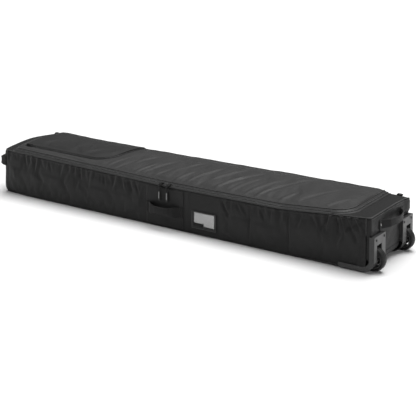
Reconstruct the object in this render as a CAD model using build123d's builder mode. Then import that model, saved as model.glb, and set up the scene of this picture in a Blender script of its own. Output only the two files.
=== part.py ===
"""Wheeled snowboard bag: padded soft shell, zipped lid, handles and a pair of roller wheels.

Frame: the origin lies on the floor under the middle of the bag. +X points to the wheel end,
-Y to the side with the carry handle and +Z up. Lengths are in millimetres.
"""
from build123d import *
from math import sqrt
import os

# ---- driving dimensions: the bag --------------------------------------------------------
HALF_LENGTH = 850.0        # middle of the bag to the corner seams
HALF_WIDTH = 165.0
TAIL_BULGE = 38.0          # how far the tail wall arches out between its corners
TAIL_CORNER = 16.0         # radius of the tail corners in plan
WHEEL_CORNER = 8.0         # radius of the wheel-end corners in plan
FABRIC = 2.5               # coated polyester with its lining
FOAM = 7.0                 # padding in the walls and the lid
GAP = 0.5                  # clearance between neighbouring layers
RAMP_START = 500.0         # the base is flat from the tail to here, then lifts to the wheels
RAMP_LIFT = 6.0
END_RADIUS = 40.0          # the base curves up into the wheel-end wall

# the front top seam sags between the two stiff ends; the rear edge is straight
SEAM_TAIL = 184.0
SEAM_MIDDLE = 160.0
SEAM_WHEEL = 187.0
SAG_FROM = 0.0
SAG_TO = 500.0
REAR_TOP = 188.5
HINGE_Z = 190.0            # axis that the lid folds about, over the rear edge
REAR_LID = 195.0           # top of the lid along its rear edge
CROWN = 201.0              # top of the lid along its middle
LID_RISE = 9.0             # underside of the lid's edge above the seam
CORNER_SPLIT = 18.0        # the side walls end this far from the corner seams

# ---- driving dimensions: the main zip ---------------------------------------------------
LID_TAIL = -808.0          # lid outline: its tail corners
LID_WHEEL = 768.0          # lid outline: its straight end across the bag
LID_FRONT = -150.0         # lid outline: the long run of the zip
LID_REAR = 163.0
LID_BULGE = 34.0
LID_CORNER = 65.0
LID_TAIL_CORNER = 30.0
TAPE_WIDTH = 11.5
TAPE = 2.0
COIL = 3.0
SLIDER_X = (-16.0, 20.0)
SLIDER_HALF = 7.0          # half the slider's width along the zip
SLIDER_PLATE = 3.0         # thickness of its upper plate
SLIDER_EYE = 2.6           # radius of the two cheeks that hold the pin
CHEEK_AT = 4.0             # the cheeks stand this far from the slider's middle
CHEEK_HALF = 1.2
PIN_RADIUS = 1.5
PIN_OUT = 8.0              # from the front wall to the pin
RUNNING_GAP = 0.05         # between parts that turn on one another
PRESS_GAP = 0.02           # between parts that are pressed together
PULL_LENGTH = 56.0
CORD_LENGTH = 18.0
CORD_EYE = 3.2
GRIP_WIDTH = 9.0
GRIP_HALF = 2.4
TAB_X = (-838.0, 820.0)    # the webbing tabs at the two ends of the zip
TAB_Y = (146.0, 160.0)
TAB_HALF, TAB_HEIGHT = 7.0, 8.0

# ---- driving dimensions: wheels and housings --------------------------------------------
WHEEL_RADIUS = 42.0
WHEEL_WIDTH = 30.0
WHEEL_X = 844.0
WHEEL_Y = 127.5
TYRE = 9.0                 # radial thickness of the tyre
AXLE_RADIUS = 4.0
BEARING_RADIUS = 11.0
BEARING_WIDTH = 7.0
WELL_CLEARANCE = 4.0       # round the wheel inside its well
MOULDING = 3.0             # wall thickness of the moulded housings
SLOT_WIDTH = 39.0
SLOT_TOP = 94.0
PLATE_FACE = 864.0         # outer face of the housing's end plate
PLATE_BACK = 850.5
PLATE_INNER = 77.0         # inner edge of the plate, from the middle of the bag
PLATE_OUTER = 168.0
PLATE_TOP = 124.0
HOUSING_FLOOR = 3.5
HOUSING_RADIUS = 45.0
FLANGE = 2.7               # thickness of the side flange
FLANGE_X = 845.0           # the upright leg of the side flange starts here
RAIL_START = 732.0         # the lower rail of the side flange starts here
RAIL_TOP = 20.0
SCREW_Y = (152.0, 88.0)
SCREW_Z = 113.0
SCREW_HEAD, SCREW_SHANK = 4.0, 1.9     # radii
SCREW_HEAD_HEIGHT, SCREW_LENGTH = 2.0, 12.0
AXLE_HEAD = 7.0            # radius of the axle's heads
AXLE_HEAD_HEIGHT = 3.0
SPACER_RADIUS = 6.5
BOARD_HALF = 98.0          # half width of the two stiffening boards
BOARD_TOP = 172.0
BOARD_START = 560.0

# ---- driving dimensions: handles --------------------------------------------------------
WEBBING = 3.0
CARRY_X = 4.0
CARRY_Z = 72.0
CARRY_HEIGHT = 20.0
CARRY_SEWN, CARRY_LEAVES, CARRY_FREE = 84.0, 70.0, 59.5    # from the handle's middle
CARRY_HALF, CARRY_BOW, CARRY_RISE = 58.0, 26.0, 20.0       # the bowed part and how far it stands out
GRIP_WRAP_HALF, GRIP_WRAP = 36.0, 2.5
TOW_Z = 149.0
TOW_HEIGHT = 26.0
TOW_SEWN, TOW_LEAVES, TOW_FREE = 101.0, 84.0, 61.5
TOW_HALF, TOW_BOW, TOW_RISE = 60.0, 32.0, 22.0
RIVET_Y, RIVET_RADIUS, RIVET_HEIGHT = 93.0, 4.0, 1.6
TAIL_Z = 138.0
TAIL_HEIGHT = 40.0
TAIL_HALF, TAIL_BOW, TAIL_RISE = 154.0, 72.0, 36.0

# ---- driving dimensions: small parts ----------------------------------------------------
HANDLE_PANEL_X = (-81.0, 93.0)
HANDLE_PANEL_Z = (8.0, 154.0)
PATCH = 1.6                # thickness of the handle's panel
PATCH_CORNER = 3.0
WINDOW_X = (130.0, 240.0)
WINDOW_Z = (25.0, 91.0)
WINDOW_BORDER_X = (12.0, 9.0)          # width of the frame at the tail side and the wheel side
WINDOW_BORDER_Z = (12.0, 5.0)          # below and above the pane
WINDOW_CORNER, PANE_CORNER = 4.0, 2.0
FRAME, PANE, CARD = 2.2, 0.8, 0.5      # thicknesses
POCKET_X = (-796.0, -338.0)
POCKET_FRONT = -92.0
POCKET_CORNER = 90.0
STRAP_X = (-420.0, 380.0)
STRAP_WIDTH = 25.0
STRAP = 1.5                # thickness of the inner straps
STRAP_REACH = 152.0        # the inner straps run from here to the buckle
BUCKLE_HALF, BUCKLE_HEIGHT, SOCKET_LENGTH = 17.0, 12.0, 38.0
PLUG_HALF, PLUG_HEIGHT, PLUG_LENGTH = 16.0, 11.0, 18.0
PRONG_Y = (-1.0, 22.0)
PRONG_X = (5.0, 11.0)
POCKET_TAPE, POCKET_TAPE_WIDTH = 1.5, 10.0
POCKET_SLIDER_HALF = (6.0, 4.0)
POCKET_EYE, POCKET_CORD_EYE, POCKET_PULL = 2.4, 2.8, 28.0

# ---- derived places ---------------------------------------------------------------------
FAR = 400.0                                  # comfortably outside the bag
TAIL_LIMIT = -HALF_LENGTH - 2 * TAIL_BULGE
WHEEL_LIMIT = HALF_LENGTH + 50.0
LENGTHWISE = (2 * TAIL_LIMIT, 2 * WHEEL_LIMIT)
PADDED = FABRIC + GAP + FOAM                 # from the outer face of the bag to its inside
FOAM_TOP = FABRIC + GAP + 8.0                # top of the padding on the base
WELL_HALF = SLOT_WIDTH / 2 + MOULDING
WELL_TOP = SLOT_TOP + MOULDING
WELL_BACK = WHEEL_X - WHEEL_RADIUS - WELL_CLEARANCE
SKIN = HALF_WIDTH + 0.4                      # where things sewn on the front wall start


def seam_height(x):
    """Height of the front top seam at a place along the bag."""
    toward_tail = min(1.0, max(0.0, (SAG_FROM - x) / (SAG_FROM + HALF_LENGTH)))
    toward_wheels = min(1.0, max(0.0, (x - SAG_TO) / (HALF_LENGTH - SAG_TO)))
    return SEAM_MIDDLE + toward_tail * (SEAM_TAIL - SEAM_MIDDLE) + toward_wheels * (SEAM_WHEEL - SEAM_MIDDLE)


def footprint(inset):
    """The bag's outline in plan, moved in by inset."""
    side = HALF_WIDTH - inset
    wheel_end = HALF_LENGTH - inset
    tail = -HALF_LENGTH + inset
    with BuildSketch() as outline:
        with BuildLine():
            front = Line((wheel_end, -side), (tail, -side))
            arch = ThreePointArc(front @ 1, (tail - TAIL_BULGE, 0), (tail, side))
            rear = Line(arch @ 1, (wheel_end, side))
            Line(rear @ 1, front @ 0)
        make_face()
        fillet(outline.vertices().sort_by(Axis.X)[:2], radius=max(2.0, TAIL_CORNER - inset))
        fillet(outline.vertices().sort_by(Axis.X)[-2:], radius=max(1.0, WHEEL_CORNER - inset))
    return outline.sketch


def ring(inset, width):
    """A ring that follows the footprint: width wide, starting inset in from it."""
    with BuildSketch() as outline:
        add(footprint(inset))
        add(footprint(inset + width), mode=Mode.SUBTRACT)
    return outline.sketch


def lid_outline(grow):
    """The outline of the lid in plan, its zipped sides moved out by grow."""
    front = LID_FRONT - grow
    wheel_end = LID_WHEEL + grow
    tail = LID_TAIL - grow
    with BuildSketch() as outline:
        with BuildLine():
            long_run = Line((wheel_end, front), (tail, front))
            arch = ThreePointArc(long_run @ 1, (tail - LID_BULGE, 0), (tail, LID_REAR))
            back = Line(arch @ 1, (wheel_end, LID_REAR))
            Line(back @ 1, long_run @ 0)
        make_face()
        corner = outline.vertices().group_by(Axis.Y)[0].sort_by(Axis.X)[-1]
        fillet(corner, radius=LID_CORNER + grow)
        corner = outline.vertices().group_by(Axis.Y)[0].sort_by(Axis.X)[0]
        fillet(corner, radius=LID_TAIL_CORNER + grow)
    return outline.sketch


def lid_ring(grow, width):
    """The open-backed ring round the lid outline that the zip follows."""
    with BuildSketch() as outline:
        add(lid_outline(grow + width))
        add(lid_outline(grow), mode=Mode.SUBTRACT)
        with Locations((0, LID_REAR)):
            Rectangle(LENGTHWISE[1] - LENGTHWISE[0], 2 * TAPE_WIDTH, mode=Mode.SUBTRACT)
    return outline.sketch


def seam_band(low, high):
    """Side view of the band between two offsets of the front top seam."""
    stations = [TAIL_LIMIT, -HALF_LENGTH, SAG_FROM, SAG_TO, HALF_LENGTH, WHEEL_LIMIT]
    upper = [(x, seam_height(x) + high) for x in stations]
    lower = [(x, seam_height(x) + low) for x in reversed(stations)]
    with BuildSketch() as band:
        with BuildLine():
            Polyline(*upper, *lower, close=True)
        make_face()
    return band.sketch


def underside(low):
    """Draw the bag's underside, moved in by low, in the open line: tail to upright wheel end."""
    centre_x = HALF_LENGTH - END_RADIUS
    centre_z = RAMP_LIFT + END_RADIUS
    radius = END_RADIUS - low
    start = (centre_x, centre_z - radius)
    middle = (centre_x + radius * sqrt(0.5), centre_z - radius * sqrt(0.5))
    Polyline((TAIL_LIMIT, low), (RAMP_START, low), start)
    ThreePointArc(start, middle, (centre_x + radius, centre_z))


def base_band(low, high):
    """Side view of the layer of the base between two offsets of its underside."""
    wall_foot = RAMP_LIFT + END_RADIUS
    with BuildSketch() as band:
        with BuildLine():
            underside(low)
            underside(high)
            Line((TAIL_LIMIT, low), (TAIL_LIMIT, high))
            Line((HALF_LENGTH - low, wall_foot), (HALF_LENGTH - high, wall_foot))
        make_face()
    return band.sketch


def side_view(low, top):
    """Side view of everything between the underside and an offset of the front top seam."""
    wall_foot = RAMP_LIFT + END_RADIUS
    stations = [HALF_LENGTH, SAG_TO, SAG_FROM, -HALF_LENGTH, TAIL_LIMIT]
    with BuildSketch() as view:
        with BuildLine():
            underside(low)
            Polyline(
                (HALF_LENGTH - low, wall_foot),
                (WHEEL_LIMIT, wall_foot),
                (WHEEL_LIMIT, seam_height(HALF_LENGTH) + top),
                *[(x, seam_height(x) + top) for x in stations],
                (TAIL_LIMIT, low),
            )
        make_face()
    return view.sketch


def lid_sections(low, high):
    """Crowned cross-sections of the lid between two offsets from its underside."""
    front = LID_FRONT - 1.0
    middle = CROWN - FABRIC
    rear = REAR_LID - FABRIC
    sections = []
    for x in (TAIL_LIMIT, -HALF_LENGTH, SAG_FROM, SAG_TO, HALF_LENGTH):
        edge = seam_height(x) + LID_RISE
        with BuildSketch(Plane.YZ.offset(x)) as section:
            with BuildLine():
                top = ThreePointArc((front, edge + high), (0, middle + high), (HALF_WIDTH, rear + high))
                bottom = ThreePointArc((front, edge + low), (0, middle + low), (HALF_WIDTH, rear + low))
                Line(top @ 0, bottom @ 0)
                Line(top @ 1, bottom @ 1)
            make_face()
        sections.append(section.sketch)
    return sections


def lid_top(x, y):
    """Height of the lid's upper face at a place on it, from the circle of its crown."""
    points = ((LID_FRONT - 1.0, seam_height(x) + LID_RISE + FABRIC), (0.0, CROWN), (HALF_WIDTH, REAR_LID))
    (y1, z1), (y2, z2), (y3, z3) = points
    slope_a = (y2 - y1) / (z1 - z2)
    slope_b = (y3 - y2) / (z2 - z3)
    mid_a = ((y1 + y2) / 2, (z1 + z2) / 2)
    mid_b = ((y2 + y3) / 2, (z2 + z3) / 2)
    centre_y = (slope_a * mid_a[0] - slope_b * mid_b[0] + mid_b[1] - mid_a[1]) / (slope_a - slope_b)
    centre_z = mid_a[1] + slope_a * (centre_y - mid_a[0])
    radius = sqrt((y2 - centre_y) ** 2 + (z2 - centre_z) ** 2)
    return centre_z + sqrt(radius**2 - (y - centre_y) ** 2)


def block(x, y, z, mode=Mode.ADD):
    """Add or cut the box between the given (low, high) pairs."""
    with Locations(((x[0] + x[1]) / 2, (y[0] + y[1]) / 2, (z[0] + z[1]) / 2)):
        Box(abs(x[1] - x[0]), abs(y[1] - y[0]), abs(z[1] - z[0]), mode=mode)


def cut(x=LENGTHWISE, y=(-FAR, FAR), z=(-FAR, FAR)):
    """Cut away the box between the given (low, high) pairs."""
    block(x, y, z, mode=Mode.SUBTRACT)


def pocket_outline(grow):
    """The outline of the lid pocket in plan, its free sides moved out by grow."""
    low_x = POCKET_X[0] - grow
    high_x = POCKET_X[1] + grow
    with BuildSketch() as outline:
        with BuildLine():
            Polyline(
                (low_x, POCKET_FRONT - grow),
                (high_x, POCKET_FRONT - grow),
                (high_x, LID_REAR - GAP),
                (low_x, LID_REAR - GAP),
                close=True,
            )
        make_face()
        corner = outline.vertices().group_by(Axis.Y)[0].sort_by(Axis.X)[-1]
        fillet(corner, radius=POCKET_CORNER + grow)
    return outline.sketch


# ---- outer panels of the shell ----------------------------------------------------------
with BuildPart() as bottom_panel:
    with BuildSketch():
        add(footprint(GAP + FABRIC))
    extrude(amount=FAR)
    with BuildSketch(Plane.XZ):
        add(base_band(0, FABRIC))
    extrude(amount=FAR, both=True, mode=Mode.INTERSECT)
    cut(x=(RAIL_START - GAP, WHEEL_LIMIT), y=(-FAR, GAP - PLATE_INNER))
    cut(x=(RAIL_START - GAP, WHEEL_LIMIT), y=(PLATE_INNER - GAP, FAR))

with BuildPart() as wall_ring:
    with BuildSketch():
        add(ring(0, FABRIC))
    extrude(amount=FAR)
    with BuildSketch(Plane.XZ):
        add(side_view(0, -GAP))
    extrude(amount=FAR, both=True, mode=Mode.INTERSECT)

with BuildPart() as front_wall:
    add(wall_ring.part)
    cut(y=(0, FAR))
    cut(x=(LENGTHWISE[0], CORNER_SPLIT - HALF_LENGTH))
    cut(x=(HALF_LENGTH - CORNER_SPLIT, LENGTHWISE[1]))
    cut(x=(RAIL_START - GAP, LENGTHWISE[1]), z=(-FAR, HOUSING_FLOOR + FLANGE + GAP))

with BuildPart() as rear_wall:
    with BuildSketch():
        add(ring(0, FABRIC))
    extrude(amount=REAR_TOP)
    with BuildSketch(Plane.XZ):
        add(side_view(0, FAR))
    extrude(amount=FAR, both=True, mode=Mode.INTERSECT)
    cut(y=(-FAR, 0))
    cut(x=(LENGTHWISE[0], CORNER_SPLIT - HALF_LENGTH))
    cut(x=(HALF_LENGTH - CORNER_SPLIT, LENGTHWISE[1]))
    cut(x=(RAIL_START - GAP, LENGTHWISE[1]), z=(-FAR, HOUSING_FLOOR + FLANGE + GAP))

with BuildPart() as tail_wall:
    add(wall_ring.part)
    cut(x=(CORNER_SPLIT - HALF_LENGTH - GAP, LENGTHWISE[1]))

with BuildPart() as wheel_end_wall:
    add(wall_ring.part)
    cut(x=(LENGTHWISE[0], HALF_LENGTH - CORNER_SPLIT + GAP))
    cut(z=(-FAR, RAMP_LIFT + END_RADIUS + GAP))
    for side in (-1, 1):
        well = (side * WHEEL_Y - WELL_HALF - 4, side * WHEEL_Y + WELL_HALF + 4)
        cut(y=well, z=(-FAR, WELL_TOP + GAP))

# ---- fixed top panels at the two ends ---------------------------------------------------
with BuildPart() as top_panels:
    with BuildSketch():
        add(footprint(0))
        add(lid_outline(TAPE_WIDTH + GAP), mode=Mode.SUBTRACT)
    extrude(amount=FAR)
    with BuildSketch(Plane.XZ):
        add(seam_band(GAP, GAP + FABRIC))
    extrude(amount=FAR, both=True, mode=Mode.INTERSECT)
    cut(y=(HALF_WIDTH - FABRIC - GAP, FAR))

with BuildPart() as tail_top_panel:
    add(top_panels.part)
    cut(x=(LID_TAIL, LENGTHWISE[1]))

with BuildPart() as wheel_end_top_panel:
    add(top_panels.part)
    cut(x=(LENGTHWISE[0], LID_WHEEL - LID_CORNER))

# ---- padding and stiffeners -------------------------------------------------------------
with BuildPart() as base_foam:
    with BuildSketch():
        add(footprint(PADDED + GAP))
    extrude(amount=FAR)
    with BuildSketch(Plane.XZ):
        add(base_band(FABRIC + GAP, FOAM_TOP))
    extrude(amount=FAR, both=True, mode=Mode.INTERSECT)
    cut(x=(RAIL_START - 2 * FOAM, WHEEL_LIMIT))

with BuildPart() as foam_ring:
    with BuildSketch():
        add(ring(FABRIC + GAP, FOAM))
    extrude(amount=FAR)
    with BuildSketch(Plane.XZ):
        add(side_view(FABRIC + GAP, -FOAM))
    extrude(amount=FAR, both=True, mode=Mode.INTERSECT)
    cut(x=(WELL_BACK - 2 * FOAM, LENGTHWISE[1]))

with BuildPart() as front_foam:
    add(foam_ring.part)
    cut(y=(0, FAR))
    cut(x=(LENGTHWISE[0], CORNER_SPLIT - HALF_LENGTH))

with BuildPart() as rear_foam:
    add(foam_ring.part)
    cut(y=(-FAR, 0))
    cut(x=(LENGTHWISE[0], CORNER_SPLIT - HALF_LENGTH))

with BuildPart() as tail_foam:
    add(foam_ring.part)
    cut(x=(CORNER_SPLIT - HALF_LENGTH - GAP, LENGTHWISE[1]))

with BuildPart() as end_stiffener:
    board_face = HALF_LENGTH - FABRIC - 1.0
    block((board_face - MOULDING, board_face), (-BOARD_HALF, BOARD_HALF), (RAMP_LIFT + END_RADIUS, BOARD_TOP))

with BuildPart() as base_board:
    board_z = FOAM_TOP + RAMP_LIFT
    block((BOARD_START, WELL_BACK - FOAM), (-BOARD_HALF, BOARD_HALF), (board_z, board_z + MOULDING))

# ---- piping -----------------------------------------------------------------------------
with BuildPart() as piping:
    with BuildSketch(Plane.XY.offset(2)):
        add(ring(-0.4 - WEBBING, WEBBING))
    extrude(amount=WEBBING)
    cut(x=(RAIL_START - 2, LENGTHWISE[1]))
    block(
        (HALF_LENGTH + GAP, HALF_LENGTH + GAP + WEBBING),
        (20 - HALF_WIDTH, HALF_WIDTH - 20),
        (SEAM_WHEEL - 6, SEAM_WHEEL - 3),
    )

# ---- the main zip -----------------------------------------------------------------------
with BuildPart() as body_zip_tape:
    with BuildSketch():
        add(lid_ring(GAP, TAPE_WIDTH - GAP))
    extrude(amount=FAR)
    with BuildSketch(Plane.XZ):
        add(seam_band(GAP, GAP + TAPE))
    extrude(amount=FAR, both=True, mode=Mode.INTERSECT)

with BuildPart() as body_zip_coil:
    with BuildSketch():
        add(lid_ring(GAP, COIL))
    extrude(amount=FAR)
    with BuildSketch(Plane.XZ):
        add(seam_band(2 * GAP + TAPE, 2 * GAP + TAPE + COIL))
    extrude(amount=FAR, both=True, mode=Mode.INTERSECT)

with BuildPart() as lid_zip_coil:
    with BuildSketch():
        add(lid_ring(-COIL - GAP, COIL))
    extrude(amount=FAR)
    with BuildSketch(Plane.XZ):
        add(seam_band(2 * GAP + TAPE, 2 * GAP + TAPE + COIL))
    extrude(amount=FAR, both=True, mode=Mode.INTERSECT)

with BuildPart() as lid_zip_tape:
    with BuildSketch():
        add(lid_ring(-TAPE_WIDTH, TAPE_WIDTH))
    extrude(amount=FAR)
    with BuildSketch(Plane.XZ):
        add(seam_band(LID_RISE - GAP - TAPE, LID_RISE - GAP))
    extrude(amount=FAR, both=True, mode=Mode.INTERSECT)

sliders = []
pull_cords = []
pull_grips = []
for slider_x in SLIDER_X:
    seam = seam_height(slider_x)
    plate = seam + 2 * GAP + TAPE + COIL + 0.7       # underside of the slider's plate
    pin_y = -HALF_WIDTH - PIN_OUT
    pin_z = seam - 1.0
    with BuildPart() as zip_slider:
        with BuildSketch(Plane.YZ.offset(slider_x)):
            with BuildLine():
                Polyline(
                    (LID_FRONT - 1.5, plate),
                    (LID_FRONT - 1.5, plate + SLIDER_PLATE),
                    (LID_FRONT - 10, plate + SLIDER_PLATE),
                    (-HALF_WIDTH - 4.2, seam + 4),
                    (-HALF_WIDTH - 4.2, seam - 1),
                    (-HALF_WIDTH - 1.2, seam - 1),
                    (-HALF_WIDTH - 1.2, seam + 2.5),
                    (-HALF_WIDTH + 4, plate),
                    close=True,
                )
            make_face()
        extrude(amount=SLIDER_HALF, both=True)
        for cheek in (-1, 1):
            with BuildSketch(Plane.YZ.offset(slider_x + cheek * CHEEK_AT)):
                with Locations((pin_y, pin_z)):
                    Circle(SLIDER_EYE)
                with Locations((pin_y + 2.2, pin_z + 1)):
                    Rectangle(4.4, 3.2)
            extrude(amount=CHEEK_HALF, both=True)
        with BuildSketch(Plane.YZ.offset(slider_x)):
            with Locations((pin_y, pin_z)):
                Circle(PIN_RADIUS)
        extrude(amount=CHEEK_AT, both=True)
    sliders.append(zip_slider)

    with BuildPart() as pull_cord:
        with BuildSketch(Plane.YZ.offset(slider_x)):
            with Locations((pin_y, pin_z)):
                Circle(CORD_EYE)
            with Locations((pin_y, pin_z - CORD_LENGTH / 2)):
                Rectangle(2 * PIN_RADIUS, CORD_LENGTH)
            with Locations((pin_y, pin_z)):
                Circle(PIN_RADIUS + RUNNING_GAP, mode=Mode.SUBTRACT)
        extrude(amount=2.0, both=True)
    pull_cords.append(pull_cord)

    with BuildPart() as pull_grip:
        grip_top = pin_z - CORD_LENGTH - 0.2
        with BuildSketch(Plane.XZ.offset(-pin_y)):
            with Locations((slider_x, (grip_top + pin_z - PULL_LENGTH) / 2)):
                RectangleRounded(GRIP_WIDTH, grip_top - pin_z + PULL_LENGTH, GRIP_WIDTH / 3)
        extrude(amount=GRIP_HALF, both=True)
        fillet(edges().group_by(Axis.Y)[0] + edges().group_by(Axis.Y)[-1], radius=0.8)
    pull_grips.append(pull_grip)

zip_slider_tail, zip_slider_wheel = sliders
zip_pull_tail_cord, zip_pull_wheel_cord = pull_cords
zip_pull_tail_grip, zip_pull_wheel_grip = pull_grips

with BuildPart() as zip_end_tabs:
    for tab_x in TAB_X:
        top = seam_height(tab_x) + GAP + FABRIC + 2
        block((tab_x - TAB_HALF, tab_x + TAB_HALF), TAB_Y, (top, top + TAB_HEIGHT))

# ---- the lid ----------------------------------------------------------------------------
with BuildPart() as lid_panel:
    loft(sections=lid_sections(0, FABRIC), ruled=True)
    with BuildSketch():
        add(lid_outline(0))
    extrude(amount=FAR, mode=Mode.INTERSECT)

with BuildPart() as lid_foam:
    loft(sections=lid_sections(-GAP - FOAM, -GAP), ruled=True)
    with BuildSketch():
        add(lid_outline(-TAPE_WIDTH - 2))
        with Locations((0, LID_REAR)):
            Rectangle(LENGTHWISE[1] - LENGTHWISE[0], 4 * FOAM, mode=Mode.SUBTRACT)
    extrude(amount=FAR, mode=Mode.INTERSECT)

with BuildPart() as lid_hinge_strip:
    hinge_tail = LID_TAIL + 10
    hinge_wheel = LID_WHEEL - 10
    block((hinge_tail, hinge_wheel), (LID_REAR - 4 * TAPE, LID_REAR + 1), (HINGE_Z - 0.6, HINGE_Z + 0.9))

with BuildPart() as pocket_panel:
    loft(sections=lid_sections(FABRIC + GAP, FABRIC + GAP + FABRIC), ruled=True)
    with BuildSketch():
        add(pocket_outline(0))
    extrude(amount=FAR, mode=Mode.INTERSECT)

with BuildPart() as pocket_zip_tape:
    loft(sections=lid_sections(FABRIC + GAP, FABRIC + GAP + POCKET_TAPE), ruled=True)
    with BuildSketch():
        add(pocket_outline(POCKET_TAPE_WIDTH))
        add(pocket_outline(GAP), mode=Mode.SUBTRACT)
        with Locations((POCKET_X[0] - POCKET_TAPE_WIDTH, 0)):
            Rectangle(2 * POCKET_TAPE_WIDTH, FAR, mode=Mode.SUBTRACT)
    extrude(amount=FAR, mode=Mode.INTERSECT)

pocket_slider_x = POCKET_X[0] + 18
pocket_slider_y = POCKET_FRONT - 6
pocket_slider_z = lid_top(pocket_slider_x, pocket_slider_y) + GAP + 3.5
with BuildPart() as pocket_slider:
    block(
        (pocket_slider_x - POCKET_SLIDER_HALF[0], pocket_slider_x + POCKET_SLIDER_HALF[0]),
        (pocket_slider_y - POCKET_SLIDER_HALF[1], pocket_slider_y + POCKET_SLIDER_HALF[1]),
        (pocket_slider_z, pocket_slider_z + SLIDER_PLATE),
    )
    pocket_pin_z = pocket_slider_z + 6.2
    for cheek in (-1, 1):
        with BuildSketch(Plane.XZ.offset(-pocket_slider_y - cheek * 3.0)):
            with Locations((pocket_slider_x, pocket_pin_z)):
                Circle(POCKET_EYE)
            with Locations((pocket_slider_x, pocket_pin_z - 2)):
                Rectangle(3.2, 4)
        extrude(amount=0.9, both=True)
    with BuildSketch(Plane.XZ.offset(-pocket_slider_y)):
        with Locations((pocket_slider_x, pocket_pin_z)):
            Circle(PIN_RADIUS)
    extrude(amount=3.0, both=True)

with BuildPart() as pocket_pull:
    with BuildSketch(Plane.XZ.offset(-pocket_slider_y)):
        with Locations((pocket_slider_x, pocket_pin_z)):
            Circle(POCKET_CORD_EYE)
        with Locations((pocket_slider_x + POCKET_PULL / 2, pocket_pin_z + 0.6)):
            Rectangle(POCKET_PULL, POCKET_EYE)
        with Locations((pocket_slider_x, pocket_pin_z)):
            Circle(PIN_RADIUS + RUNNING_GAP, mode=Mode.SUBTRACT)
    extrude(amount=1.7, both=True)

# ---- carry handle on the front wall -----------------------------------------------------
with BuildPart() as handle_panel:
    with BuildSketch(Plane.XZ.offset(SKIN)):
        with Locations((sum(HANDLE_PANEL_X) / 2, sum(HANDLE_PANEL_Z) / 2)):
            RectangleRounded(
                HANDLE_PANEL_X[1] - HANDLE_PANEL_X[0], HANDLE_PANEL_Z[1] - HANDLE_PANEL_Z[0], PATCH_CORNER
            )
    extrude(amount=PATCH)

carry_face = SKIN + 2.0


def bowed_strap(half, bow, rise, thickness):
    """Plan of a bowed strap: its outer face stands bow off the wall in the middle, rise at the ends."""
    with BuildSketch() as plan:
        with BuildLine():
            outer = ThreePointArc((-half, rise), (0, bow), (half, rise))
            inner = ThreePointArc(
                (-half, rise - thickness), (0, bow - thickness), (half, rise - thickness)
            )
            Line(outer @ 0, inner @ 0)
            Line(outer @ 1, inner @ 1)
        make_face()
    return plan.sketch


def strap_end(side, sewn, leaves, free, rise):
    """Plan of a strap's sewn end: flat on the wall from sewn to leaves, then out to free."""
    with BuildSketch() as plan:
        with BuildLine():
            Polyline(
                (side * sewn, 0),
                (side * leaves, 0),
                (side * free, rise - WEBBING),
                (side * free, rise),
                (side * (leaves + 1.5), WEBBING),
                (side * sewn, WEBBING),
                close=True,
            )
        make_face()
    return plan.sketch


# each strap is drawn in a plane whose x runs along the wall and whose y points away from it
carry_plane = Plane(origin=(CARRY_X, -carry_face, CARRY_Z), x_dir=(1, 0, 0), z_dir=(0, 0, -1))
tow_plane = Plane(origin=(HALF_LENGTH + 0.4, 0, TOW_Z), x_dir=(0, 1, 0), z_dir=(0, 0, -1))
tail_plane = Plane(origin=(-HALF_LENGTH, 0, TAIL_Z), x_dir=(0, -1, 0), z_dir=(0, 0, -1))

with BuildPart() as carry_handle_ends:
    for side in (-1, 1):
        with BuildSketch(carry_plane):
            add(strap_end(side, CARRY_SEWN, CARRY_LEAVES, CARRY_FREE, CARRY_RISE))
        extrude(amount=CARRY_HEIGHT / 2, both=True)
        patch_x = sorted((CARRY_X + side * CARRY_SEWN, CARRY_X + side * (CARRY_LEAVES + 1)))
        block(patch_x, (-carry_face - WEBBING, -carry_face), (CARRY_Z - CARRY_HEIGHT, CARRY_Z + CARRY_HEIGHT))

with BuildPart() as carry_handle_strap:
    with BuildSketch(carry_plane):
        add(bowed_strap(CARRY_HALF, CARRY_BOW, CARRY_RISE, WEBBING))
    extrude(amount=CARRY_HEIGHT / 2, both=True)

with BuildPart() as carry_handle_grip:
    with BuildSketch(carry_plane):
        add(bowed_strap(GRIP_WRAP_HALF, CARRY_BOW + 3.0, CARRY_BOW + 0.6, GRIP_WRAP))
    extrude(amount=CARRY_HEIGHT / 2 + 2, both=True)

# ---- tow handle on the wheel-end wall ---------------------------------------------------
with BuildPart() as tow_handle_anchors:
    for side in (-1, 1):
        with BuildSketch(tow_plane):
            add(strap_end(side, TOW_SEWN, TOW_LEAVES, TOW_FREE, TOW_RISE))
        extrude(amount=TOW_HEIGHT / 2, both=True)

with BuildPart() as tow_handle_strap:
    with BuildSketch(tow_plane):
        add(bowed_strap(TOW_HALF, TOW_BOW, TOW_RISE, WEBBING))
    extrude(amount=TOW_HEIGHT / 2, both=True)

with BuildPart() as tow_handle_rivets:
    rivet_x = HALF_LENGTH + 0.4 + WEBBING + 0.1
    with BuildSketch(Plane.YZ.offset(rivet_x)):
        with Locations((-RIVET_Y, TOW_Z), (RIVET_Y, TOW_Z)):
            Circle(RIVET_RADIUS)
    extrude(amount=RIVET_HEIGHT)

# ---- tail handle: a strap sewn into both corner seams -----------------------------------
with BuildPart() as tail_handle_anchors:
    for side in (-1, 1):
        with BuildSketch(Plane.XY.offset(TAIL_Z)):
            with BuildLine():
                Polyline(
                    (-HALF_LENGTH + 6, side * SKIN),
                    (-HALF_LENGTH - 15, side * (SKIN + 0.8)),
                    (-HALF_LENGTH - 32, side * 156),
                    (-HALF_LENGTH - 35, side * 158),
                    (-HALF_LENGTH - 16, side * (SKIN + WEBBING + 0.8)),
                    (-HALF_LENGTH + 6, side * (SKIN + WEBBING)),
                    close=True,
                )
            make_face()
        extrude(amount=TAIL_HEIGHT / 2, both=True)

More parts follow.
